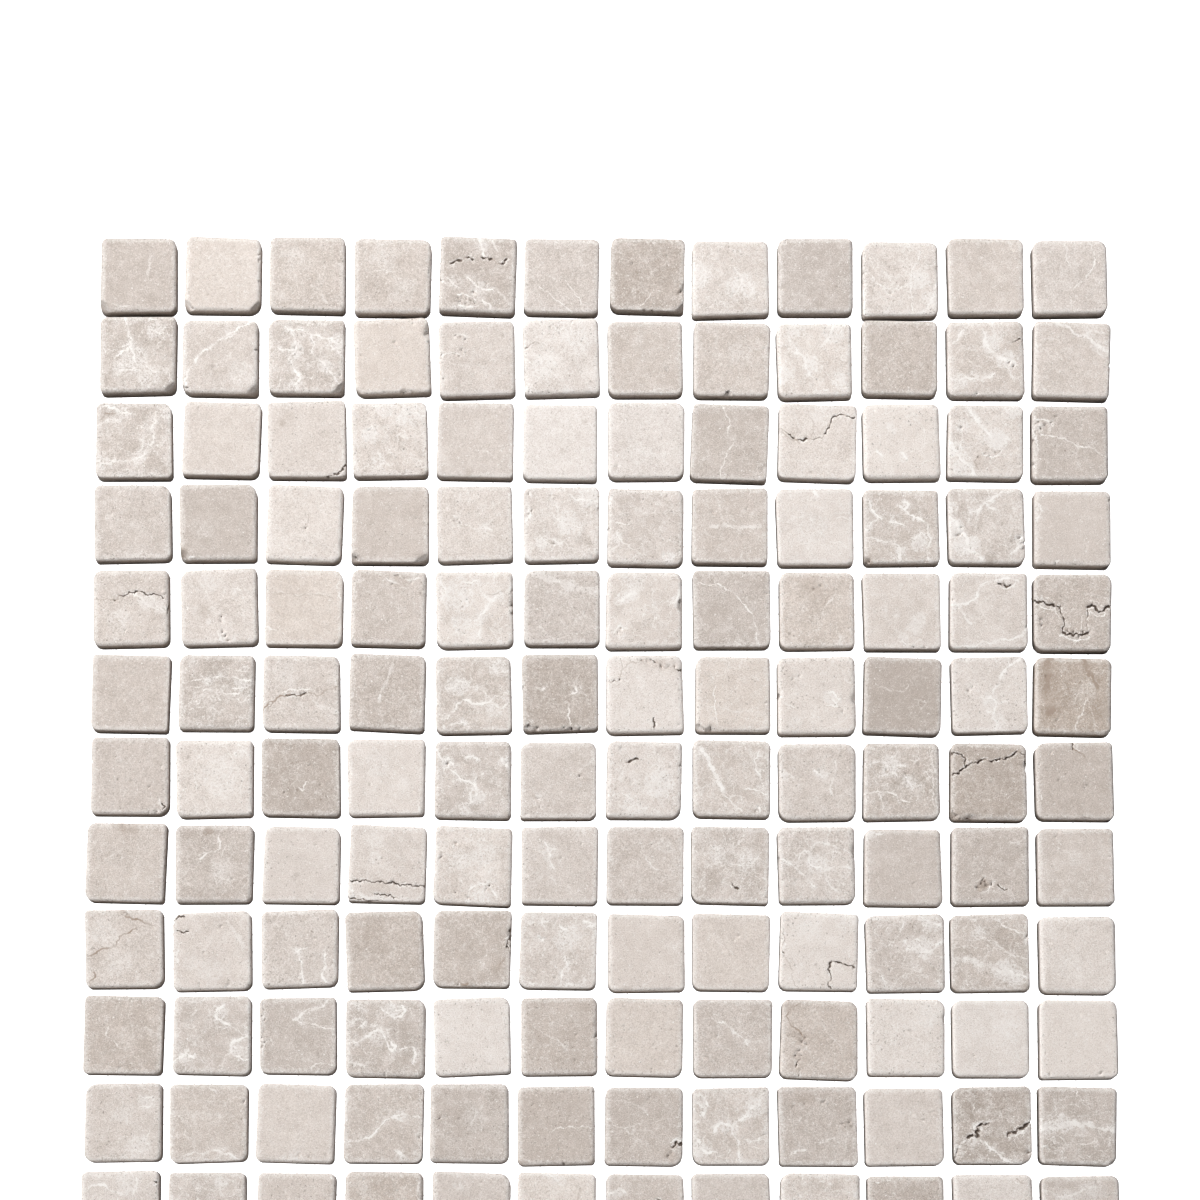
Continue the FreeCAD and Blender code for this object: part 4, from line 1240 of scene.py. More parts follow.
class Chip:
    """One chip of the CAD, read from its row's mesh, with its marks and its finer surface."""

    def __init__(self, row, column, cad, tree):
        self.key = (row, column)
        self.seed = SEED + row * 37 + column
        self.rng = np.random.default_rng(SEED * 10000 + row * 100 + column)
        self.tree = tree
        flat = cad[:, :2]
        hull = flat[convex_hull_2d([tuple(p) for p in flat])]
        if self.area(hull) < 0:
            hull = hull[::-1]
        self.hull = hull
        self.centre = (hull.min(0) + hull.max(0)) / 2
        self.half = (hull.max(0) - hull.min(0)) / 2
        self.base = cad[:, 2].min()
        self.top = cad[:, 2].max()
        rim = self.inside(hull, flat) < 0.02 * MM
        self.wear = cad[rim, 2].min() - self.base
        self.lines = []
        self.dots = []
        self.places = []
        self.read_marks()
        self.hull = self.rounder(hull)

    @staticmethod
    def area(ring):
        """The ring's area, negative where it runs clockwise."""
        after = np.roll(ring, -1, axis=0)
        return (ring[:, 0] * after[:, 1] - ring[:, 1] * after[:, 0]).sum() / 2

    @staticmethod
    def inside(ring, points):
        """How far each point lies inside a convex ring; negative outside."""
        step = np.roll(ring, -1, axis=0) - ring
        length = np.linalg.norm(step, axis=1)
        keep = length > 1e-9
        inward = np.stack((-step[keep, 1], step[keep, 0]), axis=1) / length[keep, None]
        return ((points[:, None] - ring[keep][None]) * inward[None]).sum(2).min(1)

    def rounder(self, hull):
        """The outline with more worn off its four corners than the CAD has."""
        step = np.roll(hull, -1, axis=0) - hull
        length = np.linalg.norm(step, axis=1)
        sides = []
        for way in ((1, 0), (0, 1), (-1, 0), (0, -1)):
            facing = step @ np.array(way) > .99 * length
            sides.append(np.argmax(np.where(facing, length, 0)))
        points = []
        for here, after in zip(sides, sides[1:] + sides[:1]):
            a, b = step[here] / length[here], step[after] / length[after]
            start = hull[after] - hull[here]
            corner = hull[here] + a * (start[0] * b[1] - start[1] * b[0]) / (a[0] * b[1] - a[1] * b[0])
            had = np.linalg.norm(hull - corner, axis=1).min() / (math.sqrt(2) - 1)
            radius = had + (CORNER_LOSS + CORNER_SPREAD * self.rng.random() ** 1.8) * MM
            for turn in np.linspace(0, math.pi / 2, CORNER_POINTS):
                middle = corner + (b - a) * radius
                points.append(middle - b * radius * math.cos(turn) + a * radius * math.sin(turn))
        return np.array(points)

    def at(self, place):
        """A mark's place in metres."""
        return self.centre + np.array(place) * self.half

    def chance_marks(self, drawn):
        """A few faint veins and small pits that aren't in the table."""
        rng = self.rng
        marks = []
        veins = 0 if self.key in PLAIN else (1 if drawn else 2)
        for _ in range(rng.integers(0, veins + 1)):
            start = rng.uniform(-.9, .9, 2)
            turn = rng.uniform(0, 2 * math.pi)
            bend = rng.uniform(-.5, .5)
            line = [tuple(start)]
            for k in range(3):
                start = start + .38 * np.array((math.cos(turn + bend * k), math.sin(turn + bend * k)))
                if np.abs(start).max() < .95:
                    line.append(tuple(start))
            if len(line) < 2:
                continue
            marks.append(vein(*line, width=rng.uniform(.2, .34), strength=rng.uniform(.2, .45)))
        for _ in range(rng.integers(2, 7)):
            marks.append(pits(tuple(rng.uniform(-.9, .9, 2)), radius=rng.uniform(.16, .28), depth=.2))
        return marks

    def read_marks(self):
        """The chip's marks in metres: lines, dots, and soft places."""
        drawn = MARKS.get(self.key, [])
        for mark in drawn + self.chance_marks(drawn):
            if mark[0] == "pits":
                for place in mark[1]:
                    radius = mark[2] * MM * self.rng.uniform(.8, 1.15)
                    self.dots.append((self.at(place), radius, mark[3] * MM))
            elif mark[0] in SOFT_KINDS:
                self.places.append((mark[0], self.at(mark[1]), mark[2] * self.half[0], mark[3]))
            else:
                line = wander([self.at(place) for place in mark[1]], self.rng, ROUGHNESS[mark[0]])
                ends = np.abs(np.array((mark[1][0], mark[1][-1]))).max(1) > AT_RIM
                if ends[1]:
                    line = grown(line, RUN_OUT)
                if ends[0]:
                    line = grown(line[::-1], RUN_OUT)[::-1]
                self.lines.append((mark[0], line, mark[2] * MM, *mark[3:]))

    def crossings(self, ring):
        """Further places along the outline, where cracks and larger pits come out."""
        run = along(ring)
        extra = []
        for kind, line, width, *_ in self.lines:
            if kind != "crack":
                continue
            depth = self.inside(self.hull, line)
            for k in np.nonzero(depth[:-1] * depth[1:] < 0)[0]:
                share = depth[k] / (depth[k] - depth[k + 1])
                cross = line[k] + (line[k + 1] - line[k]) * share
                place = distance_to(ring, cross[None])[1][0]
                extra += [place + step * width for step in ACROSS_CRACK]
        for centre, radius, _ in self.dots:
            gap, place = distance_to(ring, centre[None])
            if gap[0] < NEAR_RIM and radius > LARGE_PIT:
                extra += [place[0] + step * radius for step in ACROSS_PIT]
        if not extra:
            return np.array([])
        extra = np.sort(np.array(extra) % run[-1])
        return extra[np.append(True, np.diff(extra) > OUTLINE_GAP)]

    def outline(self):
        """Places round the outline and their outward directions, closer where a crack comes out."""
        ring = np.vstack((self.hull, self.hull[:1]))
        run = along(ring)
        count = round(run[-1] / OUTLINE_STEP)
        places = (np.arange(count) + self.rng.uniform(-.18, .18, count)) * run[-1] / count
        extra = self.crossings(ring)
        if len(extra):
            apart = np.abs(places[:, None] - extra[None]).min(1)
            places = np.sort(np.concatenate((places[apart > OUTLINE_CLEAR], extra)))
        places = np.sort(places % run[-1])
        tangent = self.on_ring(places + HALF_CHORD, ring, run) - self.on_ring(places - HALF_CHORD, ring, run)
        tangent /= np.linalg.norm(tangent, axis=1)[:, None]
        return self.on_ring(places, ring, run), np.stack((tangent[:, 1], -tangent[:, 0]), axis=1)

    @staticmethod
    def on_ring(places, ring, run):
        """The points this far along a closed ring."""
        places = places % run[-1]
        return np.stack((np.interp(places, run, ring[:, 0]), np.interp(places, run, ring[:, 1])), axis=1)

    def mark_points(self, ring):
        """Places along and beside the lines and round the dots, none nearly on another."""
        special = []
        for kind, line, width, *_ in self.lines:
            direction = np.gradient(line, axis=0)
            direction /= np.maximum(np.linalg.norm(direction, axis=1), 1e-12)[:, None]
            aside = np.stack((-direction[:, 1], direction[:, 0]), axis=1)
            steps = BESIDE_CRACK if kind == "crack" else BESIDE_THREAD
            special += [line + aside * width * step for step in steps]
        for centre, radius, _ in self.dots:
            special.append(centre[None])
            for share, count in ROUND_PIT:
                turn = np.arange(count) * 2 * math.pi / count + share
                special.append(centre + radius * share * np.stack((np.cos(turn), np.sin(turn)), axis=1))
        special = np.vstack(special)
        special = special[self.inside(ring, special) > MARK_FROM_RIM]
        kept = {}
        for point in special:
            kept.setdefault(tuple(np.floor(point / MARK_CELL).astype(int)), point)
        return np.array(list(kept.values())).reshape(-1, 2)

    def face_points(self, ring):
        """Places for the middle of the face: a stirred honeycomb, closer along the marks."""
        special = self.mark_points(ring)
        low, high = ring.min(0), ring.max(0)
        ys = np.arange(low[1], high[1], FACE_STEP * math.sqrt(3) / 2)
        xs = np.arange(low[0] - FACE_STEP, high[0] + FACE_STEP, FACE_STEP)
        grid = np.array([(x + FACE_STEP / 2 * (k % 2), y) for k, y in enumerate(ys) for x in xs])
        grid = grid + self.rng.uniform(-.2, .2, grid.shape) * FACE_STEP
        grid = grid[self.inside(ring, grid) > FACE_FROM_RIM]
        gap = np.full(len(grid), np.inf)
        for part in np.array_split(special, max(1, len(special) // 200)):
            if len(part):
                gap = np.minimum(gap, np.linalg.norm(grid[:, None] - part[None], axis=2).min(1))
        return np.vstack((grid[gap > FACE_FROM_MARK], special))

    def levels(self):
        """The rings from the face's rim down to the base: inset, height and outward direction."""
        above, below = TOP_EDGE * self.wear, BASE_EDGE * self.wear
        upper, lower = self.top - above, self.base + below
        rings = [(above * (1 - math.sin(t)), self.top - above * (1 - math.cos(t)), math.sin(t), math.cos(t))
                 for t in TOP_ROUNDING]
        rings += [(0, upper - drop, 1, 0) for drop in SIDE_RINGS]
        rings.append((0, lower, 1, 0))
        rings += [(below * (1 - math.cos(t)), lower - below * math.sin(t), math.cos(t), -math.sin(t))
                  for t in BOTTOM_ROUNDING]
        return rings

    def surface(self):
        """The smooth worn chip: places, outward directions and faces."""
        outline, outward = self.outline()
        count = len(outline)
        levels = self.levels()
        places, normals, faces = [], [], []
        for inset, z, across, up in levels:
            ring = outline - outward * inset
            places.append(np.column_stack((ring, np.full(count, z))))
            normals.append(np.column_stack((outward * across, np.full(count, up))))
        for k in range(len(levels) - 1):
            here, under = k * count, (k + 1) * count
            for i in range(count):
                j = (i + 1) % count
                faces.append((here + i, under + i, under + j, here + j))
        last = (len(levels) - 1) * count
        hub = len(levels) * count
        places.append(np.array([[*self.centre, self.base]]))
        normals.append(np.array([[0, 0, -1.0]]))
        faces += [(hub, last + (i + 1) % count, last + i) for i in range(count)]
        ring = places[0][:, :2]
        middle = self.face_points(ring)
        faces += self.face(np.vstack((ring, middle)), count, hub + 1 - count)
        places.append(np.column_stack((middle, np.full(len(middle), self.top))))
        normals.append(np.tile((0, 0, 1.0), (len(middle), 1)))
        return np.vstack(places), np.vstack(normals), faces

    def face(self, flat, count, shift):
        """Triangles over the face. The first places are its rim, the rest are moved on by the shift."""
        loop = [(i, (i + 1) % count) for i in range(count)]
        made = delaunay_2d_cdt([Vector(p) for p in (flat - self.centre) / MM], loop, [], 1, 1e-6)
        index = {}
        for new, sources in enumerate(made[3]):
            if not sources:
                raise RuntimeError(f"chip {self.key}: the marks cross the outline")
            index[new] = sources[0] if sources[0] < count else sources[0] + shift
        return [tuple(index[v] for v in triangle) for triangle in made[2]]

    def build(self):
        """The chip's points, faces and colours."""
        points, normals, faces = self.surface()
        self.flat = points[:, :2]
        self.worn = np.abs(self.inside(self.hull, self.flat))
        self.below_top = self.top - points[:, 2]
        self.fade = smooth(self.below_top, 4.5 * MM, .8 * MM)
        knocked = self.set_on_knocks(points, normals)
        if knocked.any():
            points = self.eased(points, faces, knocked)
        self.depth = self.wear_depth(points, normals, knocked)
        self.crack = .34 * knocked
        self.soft = {kind: np.zeros(len(points)) for kind in SOFT_KINDS}
        self.veins = Lines(len(points))
        self.hairs = Lines(len(points))
        for kind, line, width, *rest in self.lines:
            gap, place = distance_to(line, self.flat)
            track = np.column_stack((place, np.zeros((len(place), 2))))
            vary = noise(track, 1.7 * MM, self.seed + 5)
            if kind == "crack":
                self.draw_crack(gap, track, vary, width, *rest)
            else:
                self.draw_thread(kind, gap, track, vary, width, *rest)
        for dot in self.dots:
            self.draw_pit(points, *dot)
        for place in self.places:
            self.draw_place(points, *place)

        floor_part = smooth(points[:, 2] - self.base, .02 * MM, .8 * MM)
        self.depth *= np.where(normals[:, 2] < -.3, 0, floor_part)
        points = points - normals * np.clip(self.depth, 0, DEEPEST)[:, None]
        points[:, 2] = np.maximum(points[:, 2], self.base)
        self.wear_away(points)
        return points, faces, self.colours(points, normals)

    def set_on_knocks(self, points, normals):
        """Sets the points that the CAD chip's knocks leave outside it on the CAD chip, and says which."""
        knocked = np.zeros(len(points), bool)
        for k in np.nonzero((self.below_top < KNOCK_REACH) & (self.worn < KNOCK_REACH))[0]:
            place, normal, _, gap = self.tree.find_nearest(Vector(points[k]))
            if gap > SNAP_FROM and (np.array(place) - points[k]) @ normals[k] < 0:
                points[k] = place
                normals[k] = normal
                knocked[k] = True
        return knocked

    def wear_depth(self, points, normals, knocked):
        """How far tumbling has sunk each point: waves on the shoulders and rims, roughness in knocks."""
        edge = smooth(self.worn, 2.6 * MM, .3 * MM)
        shoulder = edge * smooth(self.below_top, 5.5 * MM, 1.6 * MM)
        up = np.clip(normals[:, 2], 0, 1)
        bevel = 2 * up * np.sqrt(1 - up ** 2)
        seed = self.seed
        depth = shoulder * (.05 + .05 * noise(points, 5 * MM, seed)) * MM
        depth += bevel * (.03 + .06 * noise(points, 2.6 * MM, seed + 3)) * MM * ~knocked
        depth += knocked * (.06 + .12 * noise(points, .9 * MM, seed + 4)) * MM
        crumbs = noise(points, 1.0 * MM, seed + 1) + .3
        depth += edge * .035 * (.3 + bevel) * crumbs * MM * (normals[:, 2] > -.3)
        depth += (.025 + .03 * noise(points, 4.5 * MM, seed + 2)) * MM * up
        return depth

    def draw_crack(self, gap, track, vary, width, cut, broken):
        """An open crack, its closed stretches as a hair, with white crumbs beside it."""
        openness = smooth(vary, 2 * broken - 1.25, 2 * broken - .55)
        wide = width * (.35 + .65 * openness) * (.75 + .8 * noise(track, .75 * MM, self.seed + 6))
        wide = np.maximum(wide, .09 * MM)
        self.depth += cut * MM * smooth(gap, wide * 1.3, wide * .2) * openness * self.fade
        self.crack = np.maximum(self.crack, line_profile(gap, wide) * (.2 + .8 * openness) * self.fade)
        self.hairs.draw(line_profile(gap, .14 * MM) * self.fade, .5)
        rim = smooth(gap, width * .8, width * 1.3) * smooth(gap, width + .75 * MM, width + .3 * MM)
        self.veins.draw(rim * self.fade * (.55 + .25 * vary), .9)

    def draw_thread(self, kind, gap, track, vary, width, strength):
        """A vein or a hair; a wide vein has a pale halo."""
        wide = width * (.65 + .3 * noise(track, 1.2 * MM, self.seed + 7))
        shown = strength * np.clip(.9 + .55 * vary, .3, 1.2)
        (self.veins if kind == "vein" else self.hairs).draw(line_profile(gap, wide) * self.fade, shown)
        if kind == "vein" and width > .3 * MM:
            halo = .4 * strength * smooth(gap, width + 1.1 * MM, .3 * MM) * (.7 + .5 * vary)
            self.soft["patch"] = np.maximum(self.soft["patch"], halo * self.fade)

    def draw_pit(self, points, centre, radius, cut):
        """A longish hole with a white rim."""
        turn = self.rng.uniform(0, math.pi)
        squeeze = self.rng.uniform(1.1, 2.3)
        offset = self.flat - centre
        lengthwise = offset @ np.array((math.cos(turn), math.sin(turn)))
        crosswise = offset @ np.array((-math.sin(turn), math.cos(turn)))
        gap = np.hypot(lengthwise / squeeze, crosswise * squeeze ** .5)
        wide = radius * (1 + .6 * noise(points, .5 * MM, self.seed + 8))
        self.depth += cut * smooth(gap, wide * 1.1, wide * .2) * self.fade
        dark = min(.66, radius / (.5 * MM)) * smooth(gap, wide, wide * .3)
        self.crack = np.maximum(self.crack, dark * self.fade)
        rim = smooth(gap, wide * 2.6, wide * 1.3) * self.fade * .5
        self.veins.draw(rim * min(1, radius / (.4 * MM)), .8)

    def draw_place(self, points, kind, centre, radius, strength):
        """A soft pale, dark or brown place."""
        warp = 1 + .35 * noise(points, radius * .8, self.seed + 9)
        gap = np.linalg.norm(self.flat - centre, axis=1) * warp
        cover = smooth(gap, radius * 1.15, radius * .45) * self.fade
        if kind == "stain":
            cover = cover * min(strength, 1) * .9
        else:
            cover = strength * cover
        self.soft[kind] = np.maximum(self.soft[kind], cover)

    def colours(self, points, normals):
        """What the marble reads at each point, by the names of its attributes."""
        count = len(points)
        up = np.clip(normals[:, 2], 0, 1)
        cloud = noise(points, 7 * MM, self.seed + 11) + .6 * noise(points, 3 * MM, self.seed + 12)
        mottle = 1.0 if self.key in MOTTLED else (.25 if self.key in PLAIN else .55)
        own = next((level for level, chips in TONES.items() if self.key in chips), 0)
        tone = own + (.05 + .1 * mottle) * cloud
        warmth = self.rng.uniform(-.1, .1)
        warmth += .2 * (self.key in WARM) + .35 * (self.key in VERY_WARM) - .3 * (self.key in COOL)
        rim = smooth(self.worn, 2.9 * MM, .5 * MM) * smooth(self.below_top, 1.2 * MM, .5 * MM)
        # Painted shade: the sides grow darker towards their foot, as the deep joints between the chips shade
        # them.
        painted_joint_shade = smooth(self.below_top, 1.2 * MM, 7.6 * MM) * (1 - up) * (normals[:, 2] > -.5)
        veins, hairs = self.veins, self.hairs
        zeros, ones = np.zeros(count), np.ones(count)
        return {
            "marks": np.column_stack((self.crack, self.soft["stain"], rim, painted_joint_shade)),
            "lines": np.column_stack((veins.mark, veins.strength, hairs.mark, hairs.strength)),
            "soft": np.column_stack((self.soft["patch"], self.soft["shade"], zeros, ones)),
            "look": np.column_stack((tone, ones * warmth, ones * mottle, ones * self.rng.random())),
        }

    @staticmethod
    def eased(points, faces, knocked):
        """The points in and next to a knock drawn towards their neighbours, so that its rim is blunt."""
        pairs = np.array([pair for face in faces for pair in zip(face, face[1:] + face[:1])])
        pairs = np.vstack((pairs, pairs[:, ::-1]))
        near = knocked.copy()
        near[pairs[knocked[pairs[:, 1]], 0]] = True
        pairs = pairs[near[pairs[:, 0]]]
        count = np.bincount(pairs[:, 0], minlength=len(points))
        for _ in range(3):
            total = np.zeros_like(points)
            np.add.at(total, pairs[:, 0], points[pairs[:, 1]])
            points = points.copy()
            points[near] = .5 * points[near] + .5 * total[near] / count[near, None]
        return points

    def wear_away(self, points):
        """Takes facets off the corners and nicks out of the edges, each the side of a ball."""
        rng = self.rng
        cut_off = .32 * self.wear    # how far the worn edge lies inside the sharp one
        balls = []
        for across in (-1, 1):
            for up in (-1, 1):
                tip = self.hull[(self.hull @ np.array((across, up))).argmax()]
                balls.append((tip, rng.uniform(1.4, 3) * MM, cut_off + .34 * rng.random() ** 2.2 * MM, 0))
        for _ in range(rng.integers(3, 8)):
            size = rng.uniform(.6, 2.6) * MM
            place, bite = self.on_edge(), cut_off + rng.uniform(.02, .2) * MM
            balls.append((place, size, bite, .5 * (rng.random() < .3)))
        for place, radius, bite, dark in balls:
            outward = place - self.centre
            share = np.abs(outward) / self.half
            outward = np.where(share == share.max(), np.sign(outward), 0)
            outward = outward / np.linalg.norm(outward)
            slant = np.array((*outward, 1)) / math.sqrt(2)
            middle = np.array((*place, self.top)) + slant * (radius - bite)
            offset = points - middle
            gap = np.linalg.norm(offset, axis=1)
            hit = gap < radius
            points[hit] = middle + offset[hit] * (radius / gap[hit])[:, None]
            shown = dark * smooth(gap[hit], radius, radius - bite * .5)
            self.crack[hit] = np.maximum(self.crack[hit], shown)

    def on_edge(self):
        """A point of the outline, at random."""
        ring = np.vstack((self.hull, self.hull[:1]))
        run = along(ring)
        return self.on_ring(self.rng.uniform(0, run[-1], 1), ring, run)[0]


# Materials

class Graph:
    """Short ways to add nodes to one material."""

    def __init__(self, name):
        self.material = bpy.data.materials.new(name)
        self.material.use_nodes = True
        self.nodes = self.material.node_tree.nodes
        self.links = self.material.node_tree.links
        self.nodes.clear()

    def add(self, kind, inputs=None, **settings):
        node = self.nodes.new("ShaderNode" + kind)
        for name, value in settings.items():
            setattr(node, name, value)
        for name, value in (inputs or {}).items():
            self.put(node.inputs[name], value)
        return node

    def put(self, socket, value):
        """Links another node's output to the socket, or sets the socket's own value."""
        if isinstance(value, bpy.types.NodeSocket):
            self.links.new(value, socket)
        else:
            socket.default_value = value

    def math(self, operation, *values, clamp=False):
        node = self.add("Math", dict(enumerate(values)), operation=operation, use_clamp=clamp)
        return node.outputs[0]

    def plus(self, first, *others):
        for other in others:
            first = self.math("ADD", first, other)
        return first

    def times(self, first, *others, clamp=False):
        """The product; a clamp holds only its last step from 0 to 1."""
        for other in others[:-1]:
            first = self.math("MULTIPLY", first, other)
        return self.math("MULTIPLY", first, others[-1], clamp=clamp)

    def minus(self, first, second):
        return self.math("SUBTRACT", first, second)

    def line(self, value, slope, start):
        return self.math("MULTIPLY_ADD", value, slope, start)

    def steps(self, value, low, high, to_low=0.0, to_high=1.0, smooth_steps=True):
        """The value carried from one span to another, held at the ends."""
        node = self.add("MapRange", {
            "Value": value, "From Min": low, "From Max": high, "To Min": to_low, "To Max": to_high,
        }, interpolation_type="SMOOTHSTEP" if smooth_steps else "LINEAR")
        return node.outputs["Result"]

    def contour(self, value, wide, sharp, level=.5):
        """Thin lines where the value crosses a level, full within sharp of it and gone beyond wide."""
        return self.steps(self.math("ABSOLUTE", self.minus(value, level)), wide, sharp)

    def mix(self, share, first, second, blend="MIX"):
        node = self.add("Mix", {"Factor": share}, data_type="RGBA", blend_type=blend)
        self.put(node.inputs[6], first)
        self.put(node.inputs[7], second)
        return node.outputs[2]

    def millimetres(self):
        """The place on the object, in millimetres."""
        return self.scaled(self.add("TexCoord").outputs["Object"], 1 / MM)

    def scaled(self, vector, scale):
        return self.add("VectorMath", {0: vector, "Scale": scale}, operation="SCALE").outputs[0]

    def moved(self, vector, by, operation="ADD"):
        return self.add("VectorMath", {0: vector, 1: by}, operation=operation).outputs[0]

    def parts(self, colour):
        return self.add("SeparateColor", {"Color": colour}).outputs[:3]

    def attribute(self, name):
        """The four numbers that the mesh keeps under this name."""
        node = self.add("Attribute", attribute_name=name)
        return *self.parts(node.outputs["Color"]), node.outputs["Alpha"]

    def noise(self, vector, scale, detail=2.0, roughness=.5, distortion=0.0, output="Fac"):
        """Noise from 0 to 1; its scale is about one over the size of its bumps."""
        node = self.add("TexNoise", {
            "Vector": vector, "Scale": scale, "Detail": detail, "Roughness": roughness,
            "Distortion": distortion,
        })
        return node.outputs[output]

    def cells(self, vector, scale):
        """Cells strewn at random: the distance to the nearest one's middle, and its own three numbers."""
        node = self.add("TexVoronoi", {"Vector": vector, "Scale": scale, "Randomness": 1.0}, feature="F1")
        return node.outputs["Distance"], self.parts(node.outputs["Color"])

    def ramp(self, value, stops):
        node = self.add("ValToRGB", {"Fac": value})
        elements = node.color_ramp.elements
        for _ in range(len(stops) - 2):
            elements.new(.5)
        for element, (place, colour) in zip(elements, stops):
            element.position = place
            element.color = colour
        return node.outputs["Color"]

    def bump(self, height, strength, distance):
        node = self.add("Bump", {"Height": height, "Strength": strength, "Distance": distance})
        return node.outputs["Normal"]

    def show(self, shader):
        """The finished material, with this shader as its surface."""
        out = self.add("OutputMaterial")
        self.links.new(shader, out.inputs["Surface"])
        return self.material


class Marble(Graph):
    """The stone: a grain of its own, and the marks that it reads from the chips' meshes."""

    def __init__(self):
        super().__init__("tumbled_marble")
        self.read_chip()
        self.lay_grain()
        body = self.white_lines(self.pale_patches(self.stone()))
        body = self.dark_specks(self.white_specks(self.frosted(body)))
        self.finish(self.low_down(self.dark_lines(body)))

    def read_chip(self):
        """What Chip.colours says about the point."""
        self.crack, self.stain, self.edge, self.painted_joint_shade = self.attribute("marks")
        self.vein, self.vein_strength, self.hair, self.hair_strength = self.attribute("lines")
        self.patch, self.shade = self.attribute("soft")[:2]
        self.tone, self.warmth, self.mottle, self.chance = self.attribute("look")

    def lay_grain(self):
        """Places for the grain, which differ from chip to chip, and its finer noises about zero."""
        self.place = self.millimetres()
        shift = {axis: self.times(self.chance, far) for axis, far in enumerate(GRAIN_SHIFT)}
        spot = self.spot = self.moved(self.place, self.add("CombineXYZ", shift).outputs[0])
        bend = self.moved(self.noise(spot, .28, 3.0, .55, output="Color"), (.5, .5, .5), "SUBTRACT")
        self.bent = self.moved(spot, self.scaled(bend, GRAIN_BEND))
        self.stirred = self.moved(spot, self.scaled(self.noise(spot, 1.8, 2.0, output="Color"), 1.3))
        self.blotch = self.minus(self.noise(spot, .75, 3.0, .6), .5)
        self.sugar = self.minus(self.noise(spot, 3.0, 3.0, .85), .5)
        self.fray = self.minus(self.noise(spot, 1.25, 4.0, .72), .5)

    def level(self):
        """How dark or pale the stone is: its own tone, clouds, broken pieces and single crystals."""
        spot, mottle, sugar = self.spot, self.mottle, self.sugar
        clouds = self.steps(self.noise(spot, .2, 5.0, .6, .4), .3, .7, -1.0, 1.0, False)
        drifts = self.steps(self.noise(spot, .42, 2.0, .5), .3, .7, -1.0, 1.0, False)
        fragment = self.minus(self.cells(self.bent, .21)[1][0], .5)
        bright = self.math("MAXIMUM", self.minus(sugar, .08), 0.0)
        grains = self.line(bright, 11.0, self.times(sugar, 4.4))
        hollows = self.times(self.math("MINIMUM", self.plus(sugar, .09), 0.0), 11.0)
        sand = self.times(self.plus(grains, hollows), self.steps(mottle, .25, .55, 1.05, 1.35, False))
        level = self.plus(
            self.tone,
            self.times(clouds, self.line(mottle, .13, .21)),
            self.times(drifts, .07),
            self.times(fragment, self.times(mottle, .65)),
            sand,
            self.times(self.blotch, .22),
        )
        return self.minus(level, self.steps(self.line(self.fray, .8, self.shade), .25, .8, 0.0, .7))

    def stone(self):
        scaled = self.steps(self.level(), -LEVEL_REACH, LEVEL_REACH, 0.0, 1.0, False)
        warm = self.math("MAXIMUM", self.warmth, 0.0)
        cool = self.times(self.math("MINIMUM", self.warmth, 0.0), -1.0)
        body = self.mix(warm, self.ramp(scaled, STONE_TONES), WARM_TINT, "MULTIPLY")
        return self.mix(cool, body, COOL_TINT, "MULTIPLY")

    def pale_patches(self, body):
        """The chips' patches, torn into crystals and webs, and threads that every chip has."""
        spot, mottle = self.spot, self.mottle
        torn = self.plus(self.times(self.fray, 4.6), self.times(self.blotch, 2.4))
        patches = self.steps(self.plus(torn, self.patch), .5, .95, 0.0, .46)
        web = self.contour(self.noise(spot, .85, 4.0, .68, .5), .05, .012)
        patches = self.math("MAXIMUM", patches, self.times(web, self.times(mottle, .85)))
        body = self.mix(self.times(patches, self.steps(self.patch, .02, .4)), body, PATCH_WHITE)
        threads = self.contour(self.noise(spot, .6, 5.0, .72, .3), .028, .006)
        where = self.steps(self.noise(spot, .3, 2.0), .44, .6)
        return self.mix(self.times(threads, where, self.times(mottle, .6)), body, THREAD_WHITE)

    def white_lines(self, body):
        """Fine curls with dark clefts beside them, then the chips' veins and the seams between pieces."""
        spot, mottle = self.spot, self.mottle
        curled = self.noise(spot, 1.5, 3.0, .6, .6)
        where = self.steps(self.noise(spot, .55, 2.0), .49, .6)
        curls = self.times(self.contour(curled, .034, .008), where, self.line(mottle, .36, .26))
        body = self.mix(curls, body, CURL_WHITE)
        clefts = self.times(self.contour(curled, .022, .005, .43), where, self.line(mottle, .24, .16))
        body = self.mix(clefts, body, CLEFT_BROWN)

        crystals = self.line(self.sugar, 1.9, self.times(self.fray, 2.1))
        veins = self.steps(self.plus(crystals, self.vein), .44, .74)
        veins = self.times(veins, self.times(self.vein_strength, self.steps(self.vein, .05, .3)))
        joints = self.add("TexVoronoi", {"Vector": self.bent, "Scale": .17}, feature="DISTANCE_TO_EDGE")
        where = self.steps(self.noise(spot, .22, 2.0), .44, .56)
        seams = self.steps(joints.outputs["Distance"], .042, .01)
        seams = self.times(seams, where, mottle, self.line(self.fray, 3.0, .42), clamp=True)
        return self.mix(self.math("MAXIMUM", self.times(veins, .84), seams), body, VEIN_WHITE)

    def frosted(self, body):
        """The edges, worn white."""
        frost = self.steps(self.plus(self.times(self.fray, 3.0), self.edge), .4, 1.2)
        return self.mix(self.times(frost, .34), body, FROST_WHITE)

    def white_specks(self, body):
        """Specks of their own sizes, more of them along the edges."""
        distance, (size, chance, _) = self.cells(self.stirred, 1.8)
        shown = self.steps(self.line(size, .2, distance), .4, .2)
        chosen = self.math("GREATER_THAN", chance, self.line(self.edge, -.3, .76))
        self.speck = self.times(shown, chosen, .8)
        return self.mix(self.speck, body, SPECK_WHITE)

